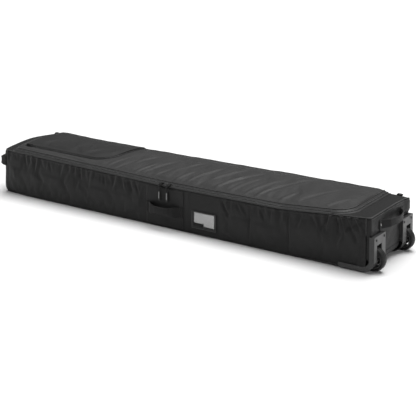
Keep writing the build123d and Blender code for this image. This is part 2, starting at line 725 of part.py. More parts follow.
with BuildPart() as tail_handle_strap:
    with BuildSketch(tail_plane):
        add(bowed_strap(TAIL_HALF, TAIL_BOW, TAIL_RISE, WEBBING))
    extrude(amount=TAIL_HEIGHT / 2, both=True)

# ---- identity window on the front wall --------------------------------------------------
window_mid = ((WINDOW_X[0] + WINDOW_X[1]) / 2, (WINDOW_Z[0] + WINDOW_Z[1]) / 2)
pane_x = (WINDOW_X[0] + WINDOW_BORDER_X[0], WINDOW_X[1] - WINDOW_BORDER_X[1])
pane_z = (WINDOW_Z[0] + WINDOW_BORDER_Z[0], WINDOW_Z[1] - WINDOW_BORDER_Z[1])
pane_mid = ((pane_x[0] + pane_x[1]) / 2, (pane_z[0] + pane_z[1]) / 2)
pane_size = (pane_x[1] - pane_x[0], pane_z[1] - pane_z[0])

with BuildPart() as id_window_frame:
    with BuildSketch(Plane.XZ.offset(SKIN + 0.8)):
        with Locations(window_mid):
            RectangleRounded(WINDOW_X[1] - WINDOW_X[0], WINDOW_Z[1] - WINDOW_Z[0], WINDOW_CORNER)
        with Locations(pane_mid):
            RectangleRounded(*pane_size, PANE_CORNER, mode=Mode.SUBTRACT)
    extrude(amount=FRAME)

with BuildPart() as id_window_pane:
    with BuildSketch(Plane.XZ.offset(SKIN + 1.0)):
        with Locations(pane_mid):
            RectangleRounded(pane_size[0] - 0.4, pane_size[1] - 0.4, PANE_CORNER)
    extrude(amount=PANE)

with BuildPart() as id_card:
    with BuildSketch(Plane.XZ.offset(SKIN + 0.1)):
        with Locations(pane_mid):
            RectangleRounded(pane_size[0] - 2, pane_size[1] - 2, PANE_CORNER)
    extrude(amount=CARD)

# ---- wheel housings ---------------------------------------------------------------------
CURVE_X = PLATE_FACE - HOUSING_RADIUS
CURVE_Z = HOUSING_FLOOR + HOUSING_RADIUS
with BuildPart() as wheel_housing_front:
    wheel_y = -WHEEL_Y
    # end plate, curved floor and skid: one moulding, bent round the bottom corner of the bag
    with BuildSketch(Plane.XZ.offset(PLATE_INNER)):
        with BuildLine():
            Polyline(
                (CURVE_X, HOUSING_FLOOR),
                (RAIL_START, HOUSING_FLOOR),
                (RAIL_START, HOUSING_FLOOR + FLANGE),
                (CURVE_X, HOUSING_FLOOR + FLANGE),
            )
            RadiusArc(
                (CURVE_X, HOUSING_FLOOR + FLANGE),
                (PLATE_FACE - FLANGE, CURVE_Z),
                FLANGE - HOUSING_RADIUS,
            )
            Polyline(
                (PLATE_FACE - FLANGE, CURVE_Z),
                (PLATE_FACE - FLANGE, PLATE_TOP - MOULDING),
                (PLATE_BACK, PLATE_TOP - MOULDING),
                (PLATE_BACK, PLATE_TOP),
                (PLATE_FACE, PLATE_TOP),
                (PLATE_FACE, CURVE_Z),
            )
            RadiusArc((CURVE_X, HOUSING_FLOOR), (PLATE_FACE, CURVE_Z), -HOUSING_RADIUS)
        make_face()
    extrude(amount=PLATE_OUTER - PLATE_INNER)
    # well round the wheel, behind the plate
    block(
        (WELL_BACK - MOULDING, PLATE_FACE - 1),
        (wheel_y - WELL_HALF, wheel_y + WELL_HALF),
        (HOUSING_FLOOR, WELL_TOP),
    )
    # trim what stands out of the rounded outer corner
    with BuildSketch(Plane.XZ):
        with BuildLine():
            Polyline(
                (CURVE_X, HOUSING_FLOOR),
                (RAIL_START - 1, HOUSING_FLOOR),
                (RAIL_START - 1, FAR),
                (PLATE_FACE, FAR),
                (PLATE_FACE, CURVE_Z),
            )
            RadiusArc((CURVE_X, HOUSING_FLOOR), (PLATE_FACE, CURVE_Z), -HOUSING_RADIUS)
        make_face()
    extrude(amount=FAR, both=True, mode=Mode.INTERSECT)
    # side flange: an upright leg and a lower rail outside the front wall
    with BuildSketch(Plane.XZ.offset(PLATE_OUTER - FLANGE)):
        with BuildLine():
            Polyline(
                (CURVE_X, HOUSING_FLOOR),
                (RAIL_START, HOUSING_FLOOR),
                (RAIL_START, RAIL_TOP),
                (CURVE_X, RAIL_TOP),
            )
            inner_radius = FLANGE_X - CURVE_X
            RadiusArc((CURVE_X, RAIL_TOP), (FLANGE_X, RAIL_TOP + inner_radius), -inner_radius)
            Polyline(
                (FLANGE_X, RAIL_TOP + inner_radius),
                (FLANGE_X, PLATE_TOP),
                (PLATE_FACE, PLATE_TOP),
                (PLATE_FACE, CURVE_Z),
            )
            RadiusArc((CURVE_X, HOUSING_FLOOR), (PLATE_FACE, CURVE_Z), -HOUSING_RADIUS)
        make_face()
    extrude(amount=FLANGE)
    # inner cheek of the plate, towards the middle of the bag
    block((PLATE_BACK, PLATE_FACE - 1), (-PLATE_INNER - MOULDING, -PLATE_INNER), (CURVE_Z, PLATE_TOP))
    # the slot that the wheel stands in, open below and behind the plate
    block(
        (WELL_BACK, PLATE_FACE + 1),
        (wheel_y - SLOT_WIDTH / 2, wheel_y + SLOT_WIDTH / 2),
        (0, SLOT_TOP),
        mode=Mode.SUBTRACT,
    )
    # holes for the axle and for the plate's screws
    with Locations(Location((WHEEL_X, wheel_y, WHEEL_RADIUS), (90, 0, 0))):
        Cylinder(AXLE_RADIUS + PRESS_GAP, 2 * WELL_HALF + 2, mode=Mode.SUBTRACT)
    for screw_y in SCREW_Y:
        with Locations(Location((PLATE_FACE, -screw_y, SCREW_Z), (0, 90, 0))):
            Cylinder(SCREW_SHANK + 0.1, 40, mode=Mode.SUBTRACT)

with BuildPart() as wheel_housing_rear:
    add(mirror(wheel_housing_front.part, about=Plane.XZ, mode=Mode.PRIVATE))

with BuildPart() as housing_screws:
    for side in (-1, 1):
        for screw_y in SCREW_Y:
            with BuildSketch(Plane.YZ.offset(PLATE_FACE + 0.1)):
                with Locations((side * screw_y, SCREW_Z)):
                    Circle(SCREW_HEAD)
            extrude(amount=SCREW_HEAD_HEIGHT)
            with BuildSketch(Plane.YZ.offset(PLATE_FACE + 0.1)):
                with Locations((side * screw_y, SCREW_Z)):
                    Circle(SCREW_SHANK)
            extrude(amount=-SCREW_LENGTH)

# ---- wheels -----------------------------------------------------------------------------
wheel_pieces = {}
for place, wheel_y in (("front", -WHEEL_Y), ("rear", WHEEL_Y)):
    middle = Plane(origin=(WHEEL_X, wheel_y, WHEEL_RADIUS), x_dir=(1, 0, 0), z_dir=(0, 1, 0))

    with BuildPart() as tyre:
        with BuildSketch(middle):
            Circle(WHEEL_RADIUS)
            Circle(WHEEL_RADIUS - TYRE, mode=Mode.SUBTRACT)
        extrude(amount=WHEEL_WIDTH / 2, both=True)
        outer_edges = tyre.edges().filter_by(GeomType.CIRCLE).sort_by(SortBy.RADIUS)[-2:]
        fillet(outer_edges, radius=5)

    with BuildPart() as hub:
        with BuildSketch(middle):
            Circle(WHEEL_RADIUS - TYRE - PRESS_GAP)
            Circle(BEARING_RADIUS - 2, mode=Mode.SUBTRACT)
        extrude(amount=WHEEL_WIDTH / 2 - 1, both=True)
        for face in (-1, 1):
            seat = middle.offset(face * (WHEEL_WIDTH / 2 - 1))
            with BuildSketch(seat):
                Circle(BEARING_RADIUS)
            extrude(amount=-face * BEARING_WIDTH, mode=Mode.SUBTRACT)

    with BuildPart() as bearings:
        for face in (-1, 1):
            with BuildSketch(middle.offset(face * (WHEEL_WIDTH / 2 - 1))):
                Circle(BEARING_RADIUS - PRESS_GAP)
                Circle(AXLE_RADIUS + RUNNING_GAP, mode=Mode.SUBTRACT)
            extrude(amount=-face * (BEARING_WIDTH - 0.1))

    with BuildPart() as axle:
        with BuildSketch(middle):
            Circle(AXLE_RADIUS)
        extrude(amount=WELL_HALF + 1, both=True)
        for face in (-1, 1):
            with BuildSketch(middle.offset(face * (WELL_HALF + 0.2))):
                Circle(AXLE_HEAD)
            extrude(amount=face * AXLE_HEAD_HEIGHT)

    for node, piece in (("tyre", tyre), ("hub", hub), ("bearings", bearings)):
        wheel_pieces[f"wheel_{place}_{node}"] = piece
    wheel_pieces[f"axle_{place}"] = axle

with BuildPart() as wheel_spacers:
    for wheel_y in (-WHEEL_Y, WHEEL_Y):
        for face in (-1, 1):
            inner_end = Plane(
                origin=(WHEEL_X, wheel_y + face * (WHEEL_WIDTH / 2 - 0.7), WHEEL_RADIUS),
                x_dir=(1, 0, 0),
                z_dir=(0, face, 0),
            )
            with BuildSketch(inner_end):
                Circle(SPACER_RADIUS)
                Circle(AXLE_RADIUS + PRESS_GAP, mode=Mode.SUBTRACT)
            extrude(amount=SLOT_WIDTH / 2 - WHEEL_WIDTH / 2 + 0.6)

# ---- straps that hold the boards, lying on the padded base ------------------------------
strap_z = FOAM_TOP + GAP
with BuildPart() as board_straps:
    for strap_x in STRAP_X:
        across = (strap_x - STRAP_WIDTH / 2, strap_x + STRAP_WIDTH / 2)
        block(across, (-STRAP_REACH, -10), (strap_z, strap_z + STRAP))
        block(across, (10, STRAP_REACH), (strap_z, strap_z + STRAP))

buckle_z = strap_z + STRAP + GAP
with BuildPart() as strap_sockets:
    for strap_x in STRAP_X:
        case = (strap_x - BUCKLE_HALF, strap_x + BUCKLE_HALF)
        opening = (strap_x - BUCKLE_HALF + 4, strap_x + BUCKLE_HALF - 4)
        block(case, (0, SOCKET_LENGTH), (buckle_z, buckle_z + BUCKLE_HEIGHT))
        block(opening, (-1, 26), (buckle_z + 2, buckle_z + BUCKLE_HEIGHT - 2), mode=Mode.SUBTRACT)

strap_plugs = []
for strap_x in STRAP_X:
    with BuildPart() as strap_plug:
        body = (strap_x - PLUG_HALF, strap_x + PLUG_HALF)
        block(body, (-PLUG_LENGTH, -GAP), (buckle_z, buckle_z + PLUG_HEIGHT))
        for side in (-1, 1):
            prong = sorted((strap_x + side * PRONG_X[0], strap_x + side * PRONG_X[1]))
            block(prong, PRONG_Y, (buckle_z + 3, buckle_z + 9))
    strap_plugs.append(strap_plug)
strap_plug_tail, strap_plug_wheel = strap_plugs

# ---- write one file for each piece ------------------------------------------------------
pieces = {
    "bottom_panel": bottom_panel,
    "front_wall": front_wall,
    "rear_wall": rear_wall,
    "tail_wall": tail_wall,
    "wheel_end_wall": wheel_end_wall,
    "tail_top_panel": tail_top_panel,
    "wheel_end_top_panel": wheel_end_top_panel,
    "base_foam": base_foam,
    "front_foam": front_foam,
    "rear_foam": rear_foam,
    "tail_foam": tail_foam,
    "end_stiffener": end_stiffener,
    "base_board": base_board,
    "piping": piping,
    "body_zip_tape": body_zip_tape,
    "body_zip_coil": body_zip_coil,
    "zip_slider_tail": zip_slider_tail,
    "zip_slider_wheel": zip_slider_wheel,
    "zip_pull_tail_cord": zip_pull_tail_cord,
    "zip_pull_wheel_cord": zip_pull_wheel_cord,
    "zip_pull_tail_grip": zip_pull_tail_grip,
    "zip_pull_wheel_grip": zip_pull_wheel_grip,
    "zip_end_tabs": zip_end_tabs,
    "lid_panel": lid_panel,
    "lid_foam": lid_foam,
    "lid_zip_tape": lid_zip_tape,
    "lid_zip_coil": lid_zip_coil,
    "lid_hinge_strip": lid_hinge_strip,
    "pocket_panel": pocket_panel,
    "pocket_zip_tape": pocket_zip_tape,
    "pocket_slider": pocket_slider,
    "pocket_pull": pocket_pull,
    "handle_panel": handle_panel,
    "carry_handle_ends": carry_handle_ends,
    "carry_handle_strap": carry_handle_strap,
    "carry_handle_grip": carry_handle_grip,
    "tow_handle_anchors": tow_handle_anchors,
    "tow_handle_strap": tow_handle_strap,
    "tow_handle_rivets": tow_handle_rivets,
    "tail_handle_anchors": tail_handle_anchors,
    "tail_handle_strap": tail_handle_strap,
    "id_window_frame": id_window_frame,
    "id_window_pane": id_window_pane,
    "id_card": id_card,
    "wheel_housing_front": wheel_housing_front,
    "wheel_housing_rear": wheel_housing_rear,
    "housing_screws": housing_screws,
    "wheel_spacers": wheel_spacers,
    "board_straps": board_straps,
    "strap_sockets": strap_sockets,
    "strap_plug_tail": strap_plug_tail,
    "strap_plug_wheel": strap_plug_wheel,
    **wheel_pieces,
}
os.makedirs("parts", exist_ok=True)
for node, piece in pieces.items():
    piece.part.label = node
    export_step(piece.part, f"parts/{node}.step")
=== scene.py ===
"""Looks of the wheeled snowboard bag: padded shell, zipped lid, straps, wheels, and a plain studio.

Everything is worked out in millimetres in the frame of the CAD model and scaled to metres as a
mesh is made. +X points to the wheel end, -Y to the side with the carry handle and +Z up.
"""
import math

import bpy
import numpy as np
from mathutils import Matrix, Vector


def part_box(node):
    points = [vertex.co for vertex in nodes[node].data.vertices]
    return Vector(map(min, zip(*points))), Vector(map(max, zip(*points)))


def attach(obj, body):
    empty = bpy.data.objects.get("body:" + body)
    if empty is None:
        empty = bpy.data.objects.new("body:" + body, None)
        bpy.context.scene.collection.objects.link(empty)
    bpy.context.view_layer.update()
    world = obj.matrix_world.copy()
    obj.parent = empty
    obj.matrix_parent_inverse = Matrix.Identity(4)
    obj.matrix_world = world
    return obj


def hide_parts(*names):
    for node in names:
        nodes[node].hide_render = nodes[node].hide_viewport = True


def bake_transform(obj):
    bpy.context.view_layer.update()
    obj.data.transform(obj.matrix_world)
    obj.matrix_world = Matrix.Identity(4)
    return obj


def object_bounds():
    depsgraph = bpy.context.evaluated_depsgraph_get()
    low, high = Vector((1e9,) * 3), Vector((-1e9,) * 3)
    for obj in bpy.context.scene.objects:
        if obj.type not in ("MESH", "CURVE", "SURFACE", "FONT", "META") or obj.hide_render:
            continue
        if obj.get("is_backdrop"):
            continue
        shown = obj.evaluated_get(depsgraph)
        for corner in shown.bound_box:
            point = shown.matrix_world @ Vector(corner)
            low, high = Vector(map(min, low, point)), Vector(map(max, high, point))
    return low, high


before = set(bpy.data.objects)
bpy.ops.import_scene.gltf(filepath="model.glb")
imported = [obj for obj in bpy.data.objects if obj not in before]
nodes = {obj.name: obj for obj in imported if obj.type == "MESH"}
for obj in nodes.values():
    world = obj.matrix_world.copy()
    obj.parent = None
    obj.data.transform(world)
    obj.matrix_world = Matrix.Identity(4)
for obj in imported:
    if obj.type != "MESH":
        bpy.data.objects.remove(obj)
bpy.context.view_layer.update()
MM = 0.001

# ---- dimensions shared with the CAD model
HALF_LENGTH, HALF_WIDTH = 850.0, 165.0
TAIL_BULGE, TAIL_CORNER, WHEEL_CORNER = 38.0, 16.0, 8.0
SEAM_TAIL, SEAM_MIDDLE, SEAM_WHEEL = 184.0, 160.0, 187.0       # heights of the front top seam
SAG_FROM, SAG_TO = 0.0, 500.0                                  # it is lowest between these places
CROWN, REAR_LID, REAR_TOP = 201.0, 195.0, 188.5                # heights of the lid and the rear wall
LID_EDGE_RISE = 11.5       # from the front seam up to the lid's front edge
LID_TAIL, LID_WHEEL, LID_FRONT, LID_REAR, LID_BULGE = -808.0, 768.0, -150.0, 163.0, 34.0
LID_MIDDLE, LID_HALF = (LID_FRONT + LID_REAR) / 2, (LID_REAR - LID_FRONT) / 2
LID_CORNER, LID_TAIL_CORNER, TAPE_WIDTH = 65.0, 30.0, 11.5
POCKET_TAIL, POCKET_WHEEL, POCKET_FRONT, POCKET_REAR, POCKET_CORNER = -796.0, -338.0, -92.0, 161.0, 90.0
TAIL_SEAM, END_SEAM = -834.0, 832.0        # the upright seams near the bag's corners
RAIL_START = 732.0         # the wheel housings' rails reach back to here
PLATE_FACE = 0.8628        # in metres, just behind the housings' end face, which is painted paler as if lit
RAMP_START, RAMP_LIFT, END_RADIUS = 500.0, 6.0, 40.0
CARRY_X, CARRY_Z, TOW_Z, TAIL_Z = 4.0, 72.0, 149.0, 138.0
WALL_FACE = 165.4          # half width over the patches sewn to the front wall
WHEEL_X, WHEEL_Y, WHEEL_RADIUS = 844.0, 127.5, 42.0
SLIDER_X = (-16.0, 20.0)
STRAP_X = (-420.0, 380.0)
UP = np.array((0.0, 0.0, 1.0))
RIPPLE_WAVES = 7           # waves that add up to a ripple
FAN_POWER = 1.6            # draws the rows of a fanned sheet towards its zipped edge
THREAD_WIDTH, THREAD_HEIGHT = 0.55, 0.3


# ---- shapes of the bag as functions of place
def seam_height(x):
    """Height of the front top seam at a place along the bag."""
    toward_tail = np.clip((SAG_FROM - x) / (SAG_FROM + HALF_LENGTH), 0, 1)
    toward_wheels = np.clip((x - SAG_TO) / (HALF_LENGTH - SAG_TO), 0, 1)
    tail_rise = toward_tail * (SEAM_TAIL - SEAM_MIDDLE)
    return SEAM_MIDDLE + tail_rise + toward_wheels * (SEAM_WHEEL - SEAM_MIDDLE)


def underside(x):
    """Height of the bag's underside."""
    ramp_end = HALF_LENGTH - END_RADIUS
    ramp = RAMP_LIFT * np.clip((x - RAMP_START) / (ramp_end - RAMP_START), 0, 1)
    past = np.clip(x - ramp_end, 0, END_RADIUS)
    return ramp + END_RADIUS - np.sqrt(END_RADIUS**2 - past**2)


def lid_crown(x, y):
    """Height of the CAD lid's upper face: an arc over the front edge, the middle and the rear edge."""
    y1, z1 = LID_FRONT - 1.0, seam_height(x) + LID_EDGE_RISE
    y2, z2, y3, z3 = 0.0, CROWN, HALF_WIDTH, REAR_LID
    slope_a = (y2 - y1) / (z1 - z2)
    slope_b = (y3 - y2) / (z2 - z3)
    middle_a = (y1 / 2, (z1 + z2) / 2)
    middle_b = (y3 / 2, (z2 + z3) / 2)
    offset = slope_a * middle_a[0] - slope_b * middle_b[0] + middle_b[1] - middle_a[1]
    centre_y = offset / (slope_a - slope_b)
    centre_z = middle_a[1] + slope_a * (centre_y - middle_a[0])
    radius = np.sqrt((y2 - centre_y) ** 2 + (z2 - centre_z) ** 2)
    return centre_z + np.sqrt(radius**2 - (y - centre_y) ** 2)


def smooth(value, low, high):
    """0 below low, 1 above high and an even curve between them."""
    t = np.clip((value - low) / (high - low), 0, 1)
    return t * t * (3 - 2 * t)


def creases(u, v, lines):
    """Height of soft folds: each runs from (u0, v0) to (u1, v1) with a half width and a height."""
    height = np.zeros_like(u)
    for u0, v0, u1, v1, half_width, rise in lines:
        run_u, run_v = u1 - u0, v1 - v0
        length = run_u**2 + run_v**2
        t = ((u - u0) * run_u + (v - v0) * run_v) / length
        away = np.abs((u - u0) * run_v - (v - v0) * run_u) / math.sqrt(length)
        fade = np.sin(np.pi * np.clip(t, 0, 1)) ** 0.7
        height += rise * fade * np.exp(-((away / half_width) ** 2))
    return height


def ripples(u, v, seed, wavelength, height):
    """Gentle uneven waviness, the same at each run."""
    chance = np.random.default_rng(seed)
    total = np.zeros_like(u)
    for _ in range(RIPPLE_WAVES):
        heading = chance.uniform(0, math.pi)
        pitch = wavelength * chance.uniform(0.6, 1.7)
        phase = chance.uniform(0, 2 * math.pi)
        total += np.sin(2 * math.pi * (u * math.cos(heading) + v * math.sin(heading)) / pitch + phase)
    return height * total / math.sqrt(RIPPLE_WAVES)


# ---- paths
def points_at(*coordinates):
    """Points from their coordinates, each a single number or an array."""
    return np.stack(np.broadcast_arrays(*coordinates), axis=-1)


def split(points):
    """The coordinates of points, an array for each."""
    return np.moveaxis(np.asarray(points, float), -1, 0)


def at_height(path, z):
    """A plan path at a height."""
    return points_at(path[:, 0], path[:, 1], z)


def over_seam(path, rise):
    """A plan path at a height over the top seam's."""
    return at_height(path, seam_height(path[:, 0]) + rise)


def ruled(edge_a, edge_b, share):
    """A grid between two lines, with a column at each share of the way from a to b."""
    return edge_a[:, None] * (1 - share)[None, :, None] + edge_b[:, None] * share[None, :, None]


def ribbon(columns):
    """A grid from lines that lie side by side."""
    count = min(len(c) for c in columns)
    return np.stack([evenly(c, count) for c in columns], axis=1)


def eased(line, times):
    """A line with its bends softened."""
    for _ in range(times):
        line[1:-1] = (line[:-2] + 2 * line[1:-1] + line[2:]) / 4
    return line


def lengths(points):
    """Distance along a polyline at each of its points."""
    return np.concatenate([[0.0], np.cumsum(np.linalg.norm(np.diff(points, axis=0), axis=1))])


def at_distances(points, stations):
    """Points of a polyline at the given distances along it."""
    along = lengths(points)
    return np.stack([np.interp(stations, along, points[:, k]) for k in range(points.shape[1])], axis=1)


def evenly(points, count):
    """A polyline with count points at even distances."""
    return at_distances(points, np.linspace(0, lengths(points)[-1], count))


def resample(points, step):
    """A polyline with its points about step apart."""
    points = np.asarray(points, float)
    return evenly(points, max(3, int(round(lengths(points)[-1] / step)) + 1))


def unit(vectors):
    """Vectors scaled to length 1."""
    return vectors / np.maximum(np.linalg.norm(vectors, axis=-1, keepdims=True), 1e-9)


def outward(path):
    """Normals of a plan path that runs anticlockwise round the bag, seen from above."""
    heading = unit(np.gradient(path, axis=0))
    return np.stack([heading[:, 1], -heading[:, 0]], axis=1)


def join_rounded(first, second, radius):
    """Two polylines in plan joined by an arc that replaces the corner between them."""
    first, second = np.asarray(first, float), np.asarray(second, float)
    a, b = unit(first[-1] - first[-2]), unit(second[1] - second[0])
    turn = math.atan2(a[0] * b[1] - a[1] * b[0], float(a @ b))
    back = radius * math.tan(abs(turn) / 2)
    total = lengths(first)[-1]
    kept = lengths(first) < total - back
    first = np.vstack([first[kept], at_distances(first, [total - back])])
    kept = lengths(second) > back
    second = np.vstack([at_distances(second, [back]), second[kept]])
    centre = first[-1] + math.copysign(radius, turn) * np.array((-a[1], a[0]))
    start = first[-1] - centre
    arc = []
    for angle in np.linspace(0, turn, 14)[1:-1]:
        cos, sin = math.cos(angle), math.sin(angle)
        arc.append(centre + (start[0] * cos - start[1] * sin, start[0] * sin + start[1] * cos))
    return np.vstack([first, arc, second])


def arch(end_x, bulge, y_from, y_to, half, middle=0.0):
    """The arched tail end in plan."""
    y = np.linspace(y_from, y_to, 60)
    return np.stack([end_x - bulge * (1 - ((y - middle) / half) ** 2), y], axis=1)


def lid_path(grow, step=4.0):
    """The zipped sides of the lid in plan, moved out by grow: tail, front, wheel end."""
    tail = arch(LID_TAIL, LID_BULGE, LID_REAR, LID_FRONT, LID_HALF, LID_MIDDLE)
    path = join_rounded(tail, [(LID_TAIL, LID_FRONT), (LID_WHEEL, LID_FRONT)], LID_TAIL_CORNER)
    path = join_rounded(path, [(LID_WHEEL, LID_FRONT), (LID_WHEEL, LID_REAR)], LID_CORNER)
    path = resample(path, step)
    return path + grow * outward(path)


def footprint_front(painted_highlight=0.0, end=END_SEAM):
    """The straight front side of the footprint from the tail's seam to end."""
    return resample([(TAIL_SEAM, painted_highlight - HALF_WIDTH), (end, painted_highlight - HALF_WIDTH)], 3)


def footprint_tail(painted_highlight=0.0):
    """The tail end of the footprint, from the rear seam round to the front seam."""
    side, end = HALF_WIDTH - painted_highlight, painted_highlight - HALF_LENGTH
    arched = arch(end, TAIL_BULGE, side, -side, side)
    path = join_rounded([(TAIL_SEAM, side), (end, side)], arched, TAIL_CORNER)
    path = join_rounded(path, [(end, -side), (TAIL_SEAM, -side)], TAIL_CORNER)
    return resample(path, 3.5)


def rear_bulge(y):
    """How far the upper rear part of the wheel end stands out past the rest."""
    return 7.0 * smooth(y, 106, 150)


def footprint_wheel_end(painted_highlight=0.0):
    """The wheel end of the footprint, from the front seam round to the rear seam."""
    side, end = HALF_WIDTH - painted_highlight, HALF_LENGTH - painted_highlight
    path = join_rounded([(END_SEAM, -side), (end, -side)], [(end, -side), (end, side)], WHEEL_CORNER)
    path = join_rounded(path, [(end, side), (END_SEAM, side)], WHEEL_CORNER)
    path = resample(path, 3.0)
    path[:, 0] += rear_bulge(path[:, 1]) * smooth(path[:, 0], 834, 846)
    return path


# ---- mesh builders
def domed(points):
    """The bag stands a little higher round the rear of its tail, with all that is sewn together there."""
    x, y, z = np.asarray(points, float).T
    rise = 8.0 * smooth(x, -560, -800) * smooth(y, -90, 60) * smooth(z, 90, 180)
    return np.column_stack([x, y, z + rise])


def make_piece(name, points, faces, uvs, material, body, replaces=(), slot=None):
    """A mesh object in the row frame that rides on a body. Points and uvs are in millimetres."""
    mesh = bpy.data.meshes.new(name)
    mesh.from_pydata((domed(points) * MM).tolist(), [], [list(map(int, f)) for f in faces])
    corners = np.zeros(len(mesh.loops), np.int32)
    mesh.loops.foreach_get("vertex_index", corners)
    layer = mesh.uv_layers.new(name="UVMap")
    layer.data.foreach_set("uv", (np.asarray(uvs, float)[corners] * MM).astype(np.float32).ravel())
    mesh.shade_smooth()
    mesh.materials.append(material)
    piece = bpy.data.objects.new(name, mesh)
    bpy.context.scene.collection.objects.link(piece)
    if body is not None:
        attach(piece, body)
    if replaces:
        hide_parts(*replaces)
    return piece


def grid_faces(rows, columns, start=0, wrap_rows=False, wrap_columns=False, flip=False):
    """Quads of a grid of vertices, wound so that rows cross columns is the outer side."""
    row = np.arange(rows if wrap_rows else rows - 1)
    column = np.arange(columns if wrap_columns else columns - 1)
    i, j = np.meshgrid(row, column, indexing="ij")
    i2, j2 = (i + 1) % rows, (j + 1) % columns
    corners = [i * columns + j, i2 * columns + j, i2 * columns + j2, i * columns + j2]
    quads = np.stack(corners, axis=-1).reshape(-1, 4)
    return (quads[:, ::-1] if flip else quads) + start


def sheet_mesh(outer, thickness):
    """Points, faces and uvs of a closed sheet: the outer grid, one thickness under it, and the rim."""
    rows, columns, _ = outer.shape
    normal = unit(np.cross(np.gradient(outer, axis=0), np.gradient(outer, axis=1)))
    inner = outer - normal * thickness
    count = rows * columns
    faces = [grid_faces(rows, columns), grid_faces(rows, columns, count, flip=True)]
    index = np.arange(count).reshape(rows, columns)
    for edge, flip in ((index[:, 0], False), (index[:, -1], True), (index[0], True), (index[-1], False)):
        rim = np.stack([edge[:-1], edge[:-1] + count, edge[1:] + count, edge[1:]], axis=1)
        faces.append(rim[:, ::-1] if flip else rim)
    points = np.vstack([outer.reshape(-1, 3), inner.reshape(-1, 3)])
    u = np.concatenate([[0], np.cumsum(np.linalg.norm(np.diff(outer, axis=0), axis=2).mean(axis=1))])
    v = np.concatenate([[0], np.cumsum(np.linalg.norm(np.diff(outer, axis=1), axis=2).mean(axis=0))])
    uv = np.stack(np.meshgrid(u, v, indexing="ij"), axis=-1).reshape(-1, 2)
    return points, np.vstack(faces), np.vstack([uv, uv])


def join_meshes(parts):
    """One set of points, faces and uvs from several."""
    points, faces, uvs, start = [], [], [], 0
    for part_points, part_faces, part_uvs in parts:
        points.append(np.asarray(part_points))
        faces.extend((np.asarray(f) + start).tolist() for f in part_faces)
        uvs.append(np.asarray(part_uvs))
        start += len(part_points)
    return np.vstack(points), faces, np.vstack(uvs)


def sheet(name, outer, thickness, material, body, planar_uv=False, **options):
    """A piece of cloth from its outer face. Several grids make one piece."""
    grids = outer if isinstance(outer, list) else [outer]
    parts = []
    for grid in grids:
        points, faces, uvs = sheet_mesh(grid, thickness)
        parts.append((points, faces, points[:, :2] if planar_uv else uvs))
    return make_piece(name, *join_meshes(parts), material, body, **options)


def sweep_mesh(path, sideways, section):
    """Points, faces and uvs of a closed section swept along a path. Sideways is its first axis."""
    path = np.asarray(path, float)
    stations = len(path)
    heading = unit(np.gradient(path, axis=0))
    sideways = np.broadcast_to(np.asarray(sideways, float), path.shape)
    sideways = unit(sideways - heading * np.sum(sideways * heading, axis=1, keepdims=True))
    second = np.cross(heading, sideways)
    section = np.asarray(section, float)
    if section.ndim == 2:
        section = np.broadcast_to(section, (stations,) + section.shape)
    sides = section.shape[1]
    points = path[:, None] + section[..., :1] * sideways[:, None] + section[..., 1:] * second[:, None]
    faces = grid_faces(stations, sides, wrap_columns=True, flip=True).tolist()
    faces.append(list(range(sides))[::-1])
    faces.append([(stations - 1) * sides + k for k in range(sides)])
    around = lengths(np.vstack([section[0], section[0][:1]]))[:-1]
    uv = np.stack(np.meshgrid(lengths(path), around, indexing="ij"), axis=-1).reshape(-1, 2)
    return points.reshape(-1, 3), faces, uv


def circle(radius, sides=10):
    """A round section."""
    angle = np.linspace(0, 2 * np.pi, sides, endpoint=False)
    return np.stack([radius * np.cos(angle), radius * np.sin(angle)], axis=1)


def band_section(width, thickness, belly=0.0, curl=0.0):
    """Section of webbing with rounded edges, thicker in the middle by belly, its edges bent by curl."""
    half, edge = width / 2, thickness / 2
    across = np.array((-1, -0.96, -0.8, -0.4, 0, 0.4, 0.8, 0.96, 1.0)) * half
    rise = np.array((0.15, 0.75, 1, 1, 1, 1, 1, 0.75, 0.15)) * edge
    rise = rise + belly * np.cos(across / half * math.pi / 2)
    upper = np.stack([across, rise], axis=1)[::-1]
    section = np.vstack([upper, upper[::-1] * (1, -1)])
    section[:, 1] += curl * (section[:, 0] / half) ** 2
    return section


def band_sections(widths, thickness, belly=0.0, curl=0.0):
    """A section of webbing for each place along a strap."""
    places = zip(*np.broadcast_arrays(widths, thickness, belly, curl))
    return np.stack([band_section(*place) for place in places])


def swept(name, path, sideways, section, material, body, **options):
    """A piece made by sweeping a section along a path."""
    return make_piece(name, *sweep_mesh(path, sideways, section), material, body, **options)


def tube(name, path, radius, material, body, sideways=UP, sides=10, **options):
    """A cord or a piping along a path; the radius may vary along it."""
    radius = np.broadcast_to(np.asarray(radius, float), (len(path),))
    section = circle(1.0, sides)[None] * radius[:, None, None]
    return swept(name, path, sideways, section, material, body, **options)


def sewn_cloth(name, outer, thickness, material, node, **options):
    """A sheet sewn into the shell in place of a CAD node."""
    return sheet(name, outer, thickness, material, "shell", replaces=(node,), slot="shell_fabric", **options)


